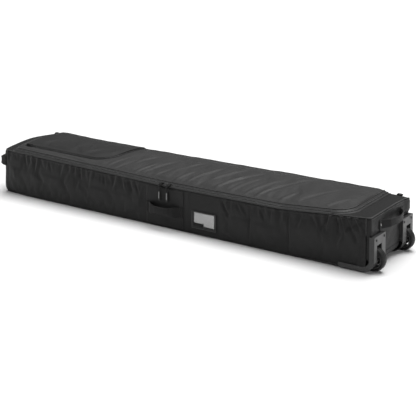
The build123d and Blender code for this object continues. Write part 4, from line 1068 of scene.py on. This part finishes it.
# ---- lid
LID_EDGE = -TAPE_WIDTH
LID_FOLDS = [
    (-318, -120, -262, 20, 8, 1.6), (-268, -144, -214, -20, 7, -1.4), (-246, -110, -160, 80, 9, 1.9),
    (-178, -148, -128, -30, 7, 1.8), (-128, -120, -52, 70, 9, -1.4), (-92, -148, -40, -50, 6, 1.7),
    (-30, -90, 50, 96, 10, 1.6), (16, -148, 62, -36, 6, 2.0), (64, -140, 150, 50, 8, 2.0),
    (118, -148, 160, -60, 6, -1.4), (140, -120, 240, 84, 9, 2.2), (196, -148, 262, -10, 7, 2.2),
    (236, -100, 330, 96, 9, -1.6), (262, -148, 334, 0, 7, 2.3), (330, -140, 420, 30, 8, 2.0),
    (372, -148, 420, -60, 6, 1.5), (400, -110, 500, 70, 9, -1.5), (470, -148, 520, -60, 7, 1.3),
    (430, 20, 560, 140, 10, 1.6), (560, -110, 660, 40, 9, -1.2), (640, 100, 740, 150, 9, 1.1),
    (-20, 90, 40, 156, 9, 1.4), (-240, 100, -170, 156, 9, 1.4), (660, -120, 720, -40, 8, 1.0),
    (-800, -118, -640, -126, 7, 1.8), (-620, -112, -470, -128, 6, -1.6), (-520, -108, -400, -132, 6, 1.8),
]


def lid_folds(x, y):
    """The lid's folds and waviness."""
    return 2.0 * creases(x, y, LID_FOLDS) + ripples(x, y, 61, 120, 0.9) + ripples(x, y, 62, 46, 0.35)


def from_tail_edge(x, y):
    """Distance along the bag from the lid's arched tail edge."""
    return x - LID_TAIL + LID_BULGE * (1 - ((y - LID_MIDDLE) / LID_HALF) ** 2)


def lid_free(x, y):
    """0 at the lid's seams and outside them, 1 well inside."""
    edges = [y - LID_FRONT, LID_WHEEL - x, from_tail_edge(x, y), LID_REAR + 2 - y]
    return smooth(np.minimum.reduce(edges), 12, 30)


lid_risen = settled(
    (LID_TAIL - 30, LID_WHEEL), (LID_FRONT, LID_REAR), lid_folds, lid_free, growth=0.006, cap=2.4, gain=0.7,
)


def pocket_depth(x, y):
    """Distance in from the pocket's outline, negative outside it."""
    ahead, beside = POCKET_WHEEL - x, y - POCKET_FRONT
    corner = POCKET_CORNER - np.hypot(POCKET_CORNER - ahead, POCKET_CORNER - beside)
    round_corner = (ahead < POCKET_CORNER) & (beside < POCKET_CORNER)
    return np.minimum(x - POCKET_TAIL, np.where(round_corner, corner, np.minimum(ahead, beside)))


def lid_top(x, y):
    """The lid's outer face with its folds."""
    edge = np.minimum(np.minimum(y - LID_FRONT, LID_WHEEL - x), from_tail_edge(x, y))
    near = 1 - np.clip(edge / 42, 0, 1)
    crown = lid_crown(x, y)
    low_edge = seam_height(x) + 9.6
    z = crown - (crown - low_edge) * near**2.2
    calm = smooth(edge, 12, 34) * (0.12 + 0.88 * smooth(np.abs(pocket_depth(x, y) + 4), 10, 40))
    return z + calm * (lid_folds(x, y) + lid_risen(x, y))


def fan(path, rear_y, count):
    """A plan grid fanned from a path round three sides to a straight rear edge."""
    share = np.linspace(0, 1, count) ** FAN_POWER
    along = (path[:, 0] - path[0, 0]) / (path[-1, 0] - path[0, 0])
    rear_x = path[0, 0] + (path[-1, 0] - path[0, 0]) * (0.85 * along + 0.15 * np.linspace(0, 1, len(path)))
    return ruled(path, points_at(rear_x, rear_y), share)


def edge_roll(plan, path, radius, depth):
    """How far a sheet turns down towards its edge path."""
    return turned(np.linalg.norm(plan - path[:, None], axis=2), radius, depth)


lid_edge = lid_path(LID_EDGE)
lid_plan = fan(lid_edge, LID_REAR, 76)
lid_x, lid_y = split(lid_plan)
lid_z = lid_top(lid_x, lid_y) - edge_roll(lid_plan, lid_edge, 4, 1.8) - 1.6 * smooth(lid_y, 152, 163)
lid_grid = points_at(lid_x, lid_y, lid_z)
sheet("lid_cloth", lid_grid, 2.5, LID, "lid", planar_uv=True, replaces=("lid_panel",), slot="lid_fabric")
tube("lid_piping", over_seam(lid_path(LID_EDGE - 0.2), 12.2), 1.8, PIPING, "lid", slot="zip_tape")

# the padding under the lid, quilted by shallow sewn lines
padding_x, padding_y = split(fan(lid_path(-16, 6), 148, 50))
quilt = 1.6 * np.exp(-(((padding_x % 240) - 120) / 5) ** 2)
padding_z = np.minimum(lid_top(padding_x, padding_y) - 10.5, lid_crown(padding_x, padding_y) - 10.0) + quilt
padding = points_at(padding_x, padding_y, padding_z)[:, ::-1]
sheet("lid_lining", padding, -6.0, LINING, "lid", planar_uv=True, replaces=("lid_foam",), slot="lining_foam")

# ---- lid pocket
POCKET_FOLDS = [
    (-760, -70, -640, 60, 10, 2.0), (-690, 120, -560, -40, 12, -1.8), (-560, 140, -470, -60, 11, 2.2),
    (-500, -70, -390, 40, 9, 2.0), (-440, 130, -360, 20, 9, -1.6), (-780, 100, -700, 140, 8, 1.4),
]
POCKET_TAPE = [(9.5, 0.7), (8.5, 1.8), (6.5, 2.2), (3.5, 2.4), (1.0, 3.0)]
pocket_corners = [(POCKET_TAIL, POCKET_FRONT), (POCKET_WHEEL, POCKET_FRONT)]
pocket_path = join_rounded([(POCKET_TAIL, POCKET_REAR), pocket_corners[0]], pocket_corners, 9)
pocket_path = join_rounded(pocket_path, [pocket_corners[1], (POCKET_WHEEL, POCKET_REAR)], POCKET_CORNER)
pocket_path = resample(pocket_path, 4)
pocket_plan = fan(pocket_path, POCKET_REAR, 56)
pocket_x, pocket_y = split(pocket_plan)
inside = np.linalg.norm(pocket_plan - pocket_path[:, None], axis=2)
pocket_z = lid_top(pocket_x, pocket_y) + 5.4
pocket_z += smooth(inside, 4, 30) * creases(pocket_x, pocket_y, POCKET_FOLDS)
pocket_z += 2.2 * smooth(inside, 0, 60) - edge_roll(pocket_plan, pocket_path, 7, 3.0)
pocket_z -= 3.0 * smooth(pocket_y, 140, POCKET_REAR)
pocket_grid = points_at(pocket_x, pocket_y, pocket_z)
sheet("pocket_cloth", pocket_grid, TOP_CLOTH, POCKET, "lid", planar_uv=True,
      replaces=("pocket_panel",), slot="lid_fabric")


def pocket_line(grow, rise, step=4.0):
    """A line beside the pocket's zipped front and end, at a height over the lid."""
    path = resample(pocket_path[pocket_path[:, 1] < POCKET_REAR - 2], step)
    path = path[(path[:, 0] > POCKET_TAIL + 3) | (path[:, 1] < POCKET_FRONT + 4)]
    path = path + grow * outward(path)
    return at_height(path, lid_top(path[:, 0], path[:, 1]) + rise)


pocket_tape = ribbon([pocket_line(grow, rise) for grow, rise in POCKET_TAPE])
coil_line = pocket_line(5.0, 3.0, 0.9)
coil_radius = 1.0 + 0.2 * np.sin(2 * math.pi * lengths(coil_line) / ZIP_PITCH)
sheet("pocket_zip_tape_cloth", pocket_tape, 1.5, TAPE, "lid", replaces=("pocket_zip_tape",), slot="zip_tape")
tube("pocket_zip_coil", coil_line, coil_radius, COIL, "lid", sides=7, slot="zip_tape")

# ---- the fold behind the lid: cloth that bends from the rear wall over to the lid
FOLD_PROFILE = [(165.2, 168), (166.4, 178), (166.6, 186), (165.6, 190.5), (162.6, 193.6), (157, 195.4),
                (150, 196.0), (143, 196.6)]
fold_x = np.arange(LID_TAIL + 2, LID_WHEEL + 1, 6.0)[:, None]
fold_profile = resample(FOLD_PROFILE, 2.0)[None]
wavy = 0.5 * np.sin(fold_x / 23)
fold_y = fold_profile[..., 0] + wavy * 0.6
fold_x = fold_x + 0 * fold_y
over = smooth(fold_y, 164.5, 158)
on_lid = lid_top(fold_x, np.minimum(fold_y, 160)) + 0.7
ends = smooth(np.abs(fold_x + 20), 755, 788)
fold_z = (fold_profile[..., 1] + wavy) * (1 - over) + on_lid * over - 5.0 * ends
fold_y = fold_y - 2.0 * ends * smooth(fold_y, 150, 164)
fold = points_at(fold_x, fold_y, fold_z)[::-1]
rear_fold = sheet("rear_fold_cloth", fold, 1.8, BINDING, None,
                  replaces=("lid_hinge_strip",), slot="shell_fabric")
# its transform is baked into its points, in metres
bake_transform(rear_fold)


# ---- seams: piping and welts
def whole_edge(painted_highlight, front_end):
    """The plan path from the front seam at front_end round the tail to the rear side."""
    front = footprint_front(painted_highlight, front_end)[::-1]
    rear = footprint_front(painted_highlight, front_end) * (1, -1)
    return np.vstack([front, footprint_tail(painted_highlight)[::-1], rear])


foot_path = resample(whole_edge(3.6, 730), 5)[::-1]
foot_path = foot_path - TAIL_DEPTH * tail_share(foot_path[:, :1]) * outward(foot_path)
foot_line = at_height(foot_path, underside(foot_path[:, 0]) + 1.9)
tube("foot_piping", foot_line, 1.7, PIPING, "shell", replaces=("piping",), slot="shell_fabric")

rim_path = np.vstack([footprint_tail(RIM), footprint_front(RIM), footprint_wheel_end(RIM)])
rim_path = resample(rim_path[rim_path[:, 1] < 161], 4)
rim_line = over_seam(rim_path, 0.9 + wheel_rise(rim_path))
tube("rim_welt", rim_line, 1.8, PIPING, "shell", slot="shell_fabric")
welt_path = (rim_path + 1.6 * outward(rim_path))[rim_path[:, 0] > 700]
welt_line = over_seam(welt_path, -5.4 + wheel_rise(welt_path))
tube("end_welt", welt_line[welt_line[:, 0] > 846], 1.2, PIPING, "shell", slot="shell_fabric")

corner_welts = []
for corner_x, corner_y, low, top in (
    (END_SEAM, -165.2, 126, 185), (END_SEAM, 165.2, 126, 172),
    (TAIL_SEAM, -165.4, 4, 183), (TAIL_SEAM, 165.4, 4, 186),
):
    line = points_at(corner_x, corner_y, np.linspace(low, top, 30))
    corner_welts.append(sweep_mesh(line, (1, 0, 0), circle(1.5)))
make_piece("corner_welts", *join_meshes(corner_welts), PIPING, "shell", slot="shell_fabric")

# rows of thread beside the seams
OUT_FRONT, OUT_END = (0, -1, 0), (1, 0, 0)
body_rows = []
for drop in (6.5, 9.5):
    x, y = split(footprint_front())
    z = seam_height(x) - drop
    body_rows.append(stitch_mesh(points_at(x, -HALF_WIDTH - front_swell(x, y, z) - 0.15, z), OUT_FRONT))
body_rows.append(stitch_mesh(over_seam(lid_path(10.2), 2.5), UP))
make_piece("body_thread", *join_meshes(body_rows), THREAD, "shell", slot="shell_fabric")
lid_row = lid_path(-15.5)
lid_rows = [
    stitch_mesh(over_seam(lid_path(-9.2), 10.7), UP),
    stitch_mesh(at_height(lid_row, lid_top(*split(lid_row)) + 0.3), UP),
    stitch_mesh(pocket_line(8.2, 2.1), UP),
]
make_piece("lid_thread", *join_meshes(lid_rows), THREAD, "lid", slot="lid_fabric")


# ---- patches on the front wall
def patch_grid(x_range, z_range, face_y, swell, step=4.0):
    """A rectangle of cloth on the front wall, turned down at its edge."""
    columns_x = np.linspace(*x_range, int((x_range[1] - x_range[0]) / step) + 2)
    columns_z = np.linspace(*z_range, int((z_range[1] - z_range[0]) / step) + 2)
    x, z = np.meshgrid(columns_x, columns_z, indexing="ij")
    inside = np.minimum.reduce([x - x_range[0], x_range[1] - x, z - z_range[0], z_range[1] - z])
    raised = swell * np.clip(inside / 14, 0, 1) ** 0.5
    raised += ripples(x, z, 71, 40, 0.25) * np.clip(inside / 20, 0, 1)
    return points_at(x, -face_y - raised, z)


def rounded_loop(x_range, z_range, radius):
    """A closed rectangle with round corners on the front wall."""
    (x0, x1), (z0, z1) = x_range, z_range
    middle = (x0 + x1) / 2
    line = join_rounded([(middle, z0), (x1, z0)], [(x1, z0), (x1, z1)], radius)
    for corner in ([(x1, z1), (x0, z1)], [(x0, z1), (x0, z0)], [(x0, z0), (middle, z0)]):
        line = join_rounded(line, corner, radius)
    return evenly(line, 140)


def ring_grid(outer_x, outer_z, inner_x, inner_z, face, lift):
    """A flat frame between two rounded rectangles on the front wall."""
    share = np.array((0, 0.04, 0.2, 0.5, 0.8, 0.96, 1.0))
    rise = np.array((0, 0.55, 0.9, 1.0, 0.9, 0.55, 0)) * lift
    x, z = split(ruled(rounded_loop(outer_x, outer_z, 4.0), rounded_loop(inner_x, inner_z, 2.0), share))
    return points_at(x, -face - rise, z)


def inset_ring(painted_highlight, width, face):
    """The middle line of a thin ring, inset from the window frame's outer edge."""
    (x0, x1), (z0, z1) = WINDOW_X, WINDOW_Z
    outer = [(x0 + painted_highlight, x1 - painted_highlight), (z0 + painted_highlight, z1 - painted_highlight)]
    inner = [(low + width, high - width) for low, high in outer]
    return ring_grid(*outer, *inner, face, 0.2)[:, 3]


WINDOW_X, WINDOW_Z = (130, 240), (25, 91)
handle_patch = patch_grid((-81, 93), (8, 154), WALL_FACE + 0.6, 1.0)
sewn_cloth("handle_panel_cloth", handle_patch, 1.4, PANEL, "handle_panel")
border_x, border_z = split([(-77, 12), (89, 12), (89, 150), (-77, 150), (-77, 12)])
patch_rows = [stitch_mesh(resample(points_at(border_x, -WALL_FACE - 1.5, border_z), 5), OUT_FRONT)]
window_grid = ring_grid(WINDOW_X, WINDOW_Z, (142, 231), (37, 86), WALL_FACE + 1.2, 1.6)
label_grid = patch_grid((137, 185), (33, 46.5), WALL_FACE + 3.0, 0.8, 2.5)
sheet("window_frame_cloth", window_grid, 1.1, FRAME, "shell", replaces=("id_window_frame",), slot="webbing")
sheet("window_label_cloth", label_grid, 1.1, LABEL, "shell", slot="webbing")
window_edge = inset_ring(1, 1.2, WALL_FACE + 2.2)
tube("window_edge_welt", window_edge, 1.1, PIPING, "shell", sideways=OUT_FRONT, slot="webbing")
window_row = ring_grid((136, 234), (31, 88), (136.5, 233.5), (31.5, 87.5), WALL_FACE + 2.7, 0.2)[:, 3]
patch_rows.append(stitch_mesh(window_row, OUT_FRONT))


# ---- straps
STRAP_THICKNESS = 2.6
STRAP_FACE = -WALL_FACE - 2.0      # the carry handle's ends lie on the handle panel


def strap_path(half, bow, rise, sewn, leaves, free, count=60):
    """Half of a strap in plan, from its sewn end to its middle: (along the wall, away from it)."""
    lead = np.array([(sewn, 1.6), (leaves, 1.6)])
    a = np.linspace(free, 0, 30)
    radius = (half**2 + (bow - rise) ** 2) / (2 * (bow - rise))
    arc = points_at(a, bow - 1.5 - radius + np.sqrt(radius**2 - a**2))
    return evenly(eased(resample(np.vstack([lead, arc]), 1.0), 5), count)


def tapered(width_end, width_middle, from_share, to_share):
    """Webbing sections that narrow along a strap."""
    share = np.linspace(0, 1, 60)
    widths = width_end + (width_middle - width_end) * smooth(share, from_share, to_share)
    return band_sections(widths, STRAP_THICKNESS)


def half_handle(name, line, section, nodes_replaced):
    """Half a handle, sewn to the shell at one end; it is attached to no body and its transform is baked into
    its points.
    """
    piece = swept(name, line, UP, section, WEBBING, None, replaces=nodes_replaced, slot="webbing")
    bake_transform(piece)


# the carry handle: its ends narrow into a wrapped grip
CARRY_STRAP = (58, 26, 20, 85, 70, 52)
carry_along, carry_away = split(strap_path(*CARRY_STRAP))
for side, name in ((-1, "tail"), (1, "wheel")):
    half_handle(
        f"carry_strap_{name}", points_at(CARRY_X + side * carry_along, STRAP_FACE - carry_away, CARRY_Z),
        tapered(40, 25, 0.35, 0.8),
        ("carry_handle_ends", "carry_handle_strap"),
    )
grip_half = strap_path(*CARRY_STRAP, 120)
grip_half = grip_half[grip_half[:, 0] < 36]
grip_along, grip_away = split(np.vstack([grip_half * (-1, 1), grip_half[::-1][1:]]))
grip_share = np.linspace(-1, 1, len(grip_along))
grip_section = band_sections(26.5, 5.4 - 1.5 * abs(grip_share) ** 6, 1.2 * (1 - grip_share**6))
swept("carry_grip_wrap", points_at(CARRY_X + grip_along, STRAP_FACE - grip_away, CARRY_Z), UP, grip_section,
      GRIP, "carry_handle", replaces=("carry_handle_grip",), slot="webbing")

# the tow handle on the wheel end
tow_along, tow_away = split(strap_path(60, 32, 22, 102, 84, 56))
for side, name in ((-1, "front"), (1, "rear")):
    half_handle(
        f"tow_strap_{name}", points_at(850.8 + tow_away, side * tow_along, TOW_Z),
        tapered(30, 25, 0.2, 0.6),
        ("tow_handle_anchors", "tow_handle_strap"),
    )

# the tail handle: out of the corner seams, round the corners, then bowed past the end
TAIL_HALF, TAIL_BOW, TAIL_REACH = 154, 32, -911.5      # half its span, its bow, its outermost place
bowed_y = np.linspace(150, 0, 40)
tail_radius = (TAIL_HALF**2 + TAIL_BOW**2) / (2 * TAIL_BOW)
tail_bowed = points_at(TAIL_REACH + tail_radius - np.sqrt(tail_radius**2 - bowed_y**2), bowed_y)
tail_line = np.vstack([[(-842, 167.2), (-860, 167.4), (-871, 164.2), (-878, 158.0)], tail_bowed])
tail_x, tail_y = split(evenly(eased(resample(tail_line, 1.5), 12), 90))
along_strap = np.linspace(0, 1, 90)
for side, name in ((-1, "front"), (1, "rear")):
    curls = side * 6.0 * smooth(along_strap, 0.1, 0.3)
    widths = 42 - 18 * smooth(along_strap, 0.03, 0.28)
    half_handle(
        f"tail_strap_{name}", points_at(tail_x, side * tail_y, TAIL_Z),
        band_sections(widths, STRAP_THICKNESS, 0, curls),
        ("tail_handle_anchors", "tail_handle_strap"),
    )

# sewn boxes on the straps' ends
for side in (-1, 1):
    near, far = CARRY_X + side * 72, CARRY_X + side * 83
    box = [(near, 55), (far, 55), (far, 89), (near, 89), (near, 55), (far, 89), (far, 55), (near, 89)]
    x, z = split(box)
    patch_rows.append(stitch_mesh(resample(points_at(x, STRAP_FACE - 3.1, z), 2), OUT_FRONT, 3.4, 2.6))
    near, far = side * 86, side * 100
    y, z = split([(near, 137), (far, 137), (far, 161), (near, 161), (near, 137)])
    patch_rows.append(stitch_mesh(resample(points_at(854, y, z), 2), OUT_END, 3.4, 2.6))
make_piece("patch_thread", *join_meshes(patch_rows), THREAD, "shell", slot="webbing")

# ---- small tabs at the ends of the zip: webbing folded flat
tab_along = np.linspace(-10, 10, 14)
tab_section = band_sections(13, 7.5 * np.sqrt(np.clip(1 - (tab_along / 10.6) ** 6, 0.05, 1)))
tabs = []
for tab_x in (-838.0, 820.0):
    plan = points_at(tab_x + tab_along, 153.0)
    tabs.append(sweep_mesh(over_seam(plan, 7.2 + wheel_rise(plan)), (0, 1, 0), tab_section))
make_piece("zip_end_loops", *join_meshes(tabs), LABEL, "shell", replaces=("zip_end_tabs",), slot="webbing")

# ---- zip pulls
PIN_Y = -173.0      # the sliders' pins stand this far out in front


def pull(place, slider_x, body):
    """A looped cord and a moulded grip, hanging from the slider's pin, with a pale strip down the grip that
    is a painted highlight.
    """
    pin_z = float(seam_height(slider_x)) - 1.0
    angle = np.linspace(0, math.pi, 12)
    drop = np.linspace(0, 1, 8)[:-1]
    front = points_at(slider_x, PIN_Y + 1.4 + 1.2 * drop, pin_z - 22 * (1 - drop))
    loop = points_at(slider_x, PIN_Y + 2.6 * np.cos(angle), pin_z + 2.6 * np.sin(angle))
    back = points_at(slider_x, PIN_Y - 1.4 - 1.2 * drop, pin_z - 22 * (1 - drop))[::-1]
    tube(f"pull_{place}_cord", np.vstack([front, loop, back]), 1.15, CORD, body, sideways=(1, 0, 0),
         replaces=(f"zip_pull_{place}_cord",), slot="pull_cord")
    t = np.linspace(0, 1, 40)
    grooves = 0.25 * np.sin(t * 34) * smooth(t, 0.25, 0.4) * smooth(1 - t, 0.05, 0.2)
    half_width = 3.3 + 1.6 * smooth(t, 0, 0.25) - 0.5 * np.sin(np.pi * t) + grooves
    half_width *= np.sqrt(np.clip(1 - (2 * t - 1) ** 10, 0.05, 1))
    grip_line = points_at(slider_x, PIN_Y, np.linspace(pin_z - 17.5, pin_z - 56, 40))
    grip_section = band_sections(2 * half_width, 4.6 - 1.2 * abs(2 * t - 1) ** 4)
    swept(f"pull_{place}_grip", grip_line, (1, 0, 0), grip_section, PULL, body,
          replaces=(f"zip_pull_{place}_grip",), slot="pull_grip")
    # a pale strip down the grip: painted highlight, where the grip's edge catches light
    highlight_line = points_at(slider_x, PIN_Y - 1.7, np.linspace(pin_z - 19.5, pin_z - 47, 20))
    highlight_width = 3.5 * np.sqrt(np.clip(1 - np.linspace(-1, 1, 20) ** 8, 0.1, 1))
    swept(f"pull_{place}_inset", highlight_line, (1, 0, 0), band_sections(highlight_width, 1.7), PULL_HIGHLIGHT_PAINT, body,
          slot="pull_grip")


pull("tail", SLIDER_X[0], "pull_tail")
pull("wheel", SLIDER_X[1], "pull_wheel")

tab_low, tab_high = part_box("pocket_pull")
tab_line = points_at(np.linspace(-780, -749, 24), -98.0, (tab_low.z + tab_high.z) / 2 / MM + 0.3)
tab_width = np.interp(np.linspace(0, 1, 24), (0, 0.1, 0.5, 0.9, 1), (3.0, 4.4, 5.6, 5.6, 3.6))
swept("pocket_pull_tab", tab_line, (0, 1, 0), band_sections(tab_width, 2.6), CORD, "pocket_pull",
      replaces=("pocket_pull",), slot="pull_cord")

# ---- wheels
TREAD = [
    (33.2, -13.6), (35.5, -14.9), (38.2, -14.6), (40.4, -12.9), (41.6, -10.2), (41.9, -7.2), (41.0, -6.4),
    (41.0, -5.2), (41.95, -4.4), (42.0, 0.0),
]
TYRE_PROFILE = TREAD + [(r, -y) for r, y in TREAD[-2::-1]] + [(32.9, 12.5), (32.9, -12.5)]
HUB_RIM = [
    (26.5, -11), (28, -13.2), (32.7, -13.2), (32.7, 13.2), (28, 13.2), (26.5, 11), (25.8, 4), (25.8, -4),
]
HUB_CORE = [
    (11.2, -13.9), (14.2, -13.9), (15.6, -12.2), (16.2, 0), (15.6, 12.2), (14.2, 13.9), (11.2, 13.9),
    (11.2, 7), (9.2, 6.6), (9.2, -6.6), (11.2, -7),
]
SPOKES = 5
spoke_width = np.interp(np.linspace(0, 1, 8), (0, 0.5, 1), (8.5, 6.0, 9.5))
spoke_section = band_sections(19 - 3 * np.sin(np.pi * np.arange(8) / 7), spoke_width)
for place, side in (("front", -1), ("rear", 1)):
    centre = (WHEEL_X, side * WHEEL_Y, WHEEL_RADIUS)
    body = f"wheel_{place}"
    make_piece(f"{body}_tyre_rubber", *revolve_mesh(centre, TYRE_PROFILE[::-1], 96), TYRE, body,
               replaces=(f"{body}_tyre",), slot="tyre")
    parts = [revolve_mesh(centre, HUB_RIM[::-1]), revolve_mesh(centre, HUB_CORE[::-1])]
    for spoke in range(SPOKES):
        angle = 2 * math.pi * spoke / SPOKES + 0.3
        radial = np.array((math.sin(angle), 0, math.cos(angle)))
        line = np.array(centre) + radial * np.linspace(14.5, 27.5, 8)[:, None]
        parts.append(sweep_mesh(line, (0, 1, 0), spoke_section))
    make_piece(f"{body}_hub_spokes", *join_meshes(parts), HUB, body,
               replaces=(f"{body}_hub",), slot="hub_plastic")

# ---- inside
LINING_IN = 10.0            # from the footprint in to the lining
LINING_FOOT = 12


def wall_lining(place, path, top, seed):
    """The padded lining of one wall, facing into the bag."""
    z = heights(np.full(len(path), LINING_FOOT), top, 26)
    run = lengths(path)[:, None] + 0 * z
    padding = 1.5 * np.sin(np.pi * np.clip((z - LINING_FOOT) / 150, 0, 1))
    out = -0.6 + ripples(run, z, seed, 80, 0.5) - padding
    grid = moved_out(path[:, :1] + 0 * z, path[:, 1:] + 0 * z, z, outward(path), out)[:, ::-1]
    sheet(f"{place}_lining", grid, 5.5, LINING, "shell", replaces=(f"{place}_foam",), slot="lining_foam")


front_in = resample([(-836, LINING_IN - HALF_WIDTH), (783, LINING_IN - HALF_WIDTH)], 6)
wall_lining("front", front_in, seam_height(front_in[:, 0]) - 6, 81)
wall_lining("rear", front_in[::-1] * (1, -1), np.full(len(front_in), 160.0), 82)
tail_in = resample(footprint_tail(LINING_IN), 5)
wall_lining("tail", tail_in, seam_height(tail_in[:, 0]) - 7, 83)

floor_x, floor_y = np.meshgrid(np.arange(-838, 716, 6.0), np.linspace(-152, 152, 52), indexing="ij")
floor_x = floor_x - smooth(floor_x, -640, -838) * 36 * (1 - (floor_y / HALF_WIDTH) ** 2)
channel = 1.2 * np.exp(-(((floor_x % 200) - 100) / 6) ** 2)
floor_z = 10.4 + np.clip(underside(floor_x), 0, 4) - channel + ripples(floor_x, floor_y, 91, 70, 0.18)
sheet("floor_lining", points_at(floor_x, floor_y, floor_z), 7.0, LINING, "shell", planar_uv=True,
      replaces=("base_foam",), slot="lining_foam")

inner_straps = []
for strap_x in STRAP_X:
    for ends in ((-152, -12), (12, 152)):
        y = np.linspace(*ends, 50)
        waves = 0.6 * np.sin(np.linspace(0, math.pi, 50)) + 0.25 * np.sin(y / 9)
        line = points_at(strap_x, y, 12.7 + smooth(np.abs(y), 54, 84) * waves)
        inner_straps.append(sweep_mesh(line, (1, 0, 0), band_section(25, 1.6)))
make_piece("inner_straps", *join_meshes(inner_straps), WEBBING, "shell",
           replaces=("board_straps",), slot="webbing")

# ---- stage
FLOOR_HALF, FLOOR_LEVEL = 60, -0.0004      # in metres, a hair under the bag
floor_mesh = bpy.data.meshes.new("floor")
floor_corners = FLOOR_HALF * np.array([(-1, -1), (1, -1), (1, 1), (-1, 1)])
floor_mesh.from_pydata(points_at(*split(floor_corners), FLOOR_LEVEL).tolist(), [], [(0, 1, 2, 3)])
floor = bpy.data.objects.new("floor", floor_mesh)
bpy.context.scene.collection.objects.link(floor)
floor_shader = Shader("floor_pale")
paint = floor_shader.noise(floor_shader.place("Object"), 3.0, 3.0)
paint = floor_shader.mix(paint, grey(0.80), grey(0.82))
floor_mesh.materials.append(floor_shader.finish(Base_Color=paint, Roughness=0.9, Specular_IOR_Level=0.1))
floor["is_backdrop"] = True

# the camera sees a white backdrop, while everything else gets a little light from it
SKY_LIGHT, BACKDROP = 0.10, 1.05
world = bpy.data.worlds.new("studio")
bpy.context.scene.world = world
world.use_nodes = True
sky = world.node_tree.nodes["Background"]
seen = world.node_tree.nodes.new("ShaderNodeLightPath")
level = world.node_tree.nodes.new("ShaderNodeMapRange")
level.inputs["To Min"].default_value = SKY_LIGHT
level.inputs["To Max"].default_value = BACKDROP
world.node_tree.links.new(seen.outputs["Is Camera Ray"], level.inputs["Value"])
world.node_tree.links.new(level.outputs[0], sky.inputs["Strength"])
sky.inputs["Color"].default_value = (1, 1, 1, 1)


def sun(name, strength, spread, tilt_x, tilt_y):
    """A very soft light from far away, straight down when both tilts are 0."""
    data = bpy.data.lights.new(name, "SUN")
    data.energy = strength
    data.angle = math.radians(spread)
    lamp = bpy.data.objects.new(name, data)
    lamp.rotation_euler = (math.radians(tilt_x), math.radians(tilt_y), 0)
    bpy.context.scene.collection.objects.link(lamp)


sun("overhead_light", 3.9, 46, -19, 2)
sun("end_light", 0.50, 14, 24, 58)
sun("tail_light", 0.9, 14, 12, -64)

# ---- camera
CAMERA_AT = (2.11741, -3.0576, 1.16642)
YAW, PITCH = math.radians(124.941), math.radians(3.3457)      # turned towards +Y, then tipped down
camera_data = bpy.data.cameras.new("camera")
camera_data.sensor_width = 36
camera_data.lens = 82.442
camera_data.clip_end = 200
camera = bpy.data.objects.new("camera", camera_data)
bpy.context.scene.collection.objects.link(camera)
camera.location = CAMERA_AT
camera.rotation_euler = (math.pi / 2 - PITCH, 0, YAW - math.pi / 2)
bpy.context.scene.camera = camera


def shift_here(channel, amount):
    """Lens shift that holds only while the camera stands at its own viewpoint."""
    driver = camera_data.driver_add(channel).driver
    driver.type = "SCRIPTED"
    for name in ("x", "y"):
        place = driver.variables.new()
        place.name = name
        place.type = "TRANSFORMS"
        place.targets[0].id = camera
        place.targets[0].transform_type = "LOC_" + name.upper()
    driver.expression = f"{amount} if hypot(x - {CAMERA_AT[0]}, y - {CAMERA_AT[1]}) < 0.01 else 0"


shift_here("shift_x", 0.05673)
shift_here("shift_y", -0.55323)

bpy.context.scene.view_settings.view_transform = "Standard"

# ---- the bounds of everything shown
low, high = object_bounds()
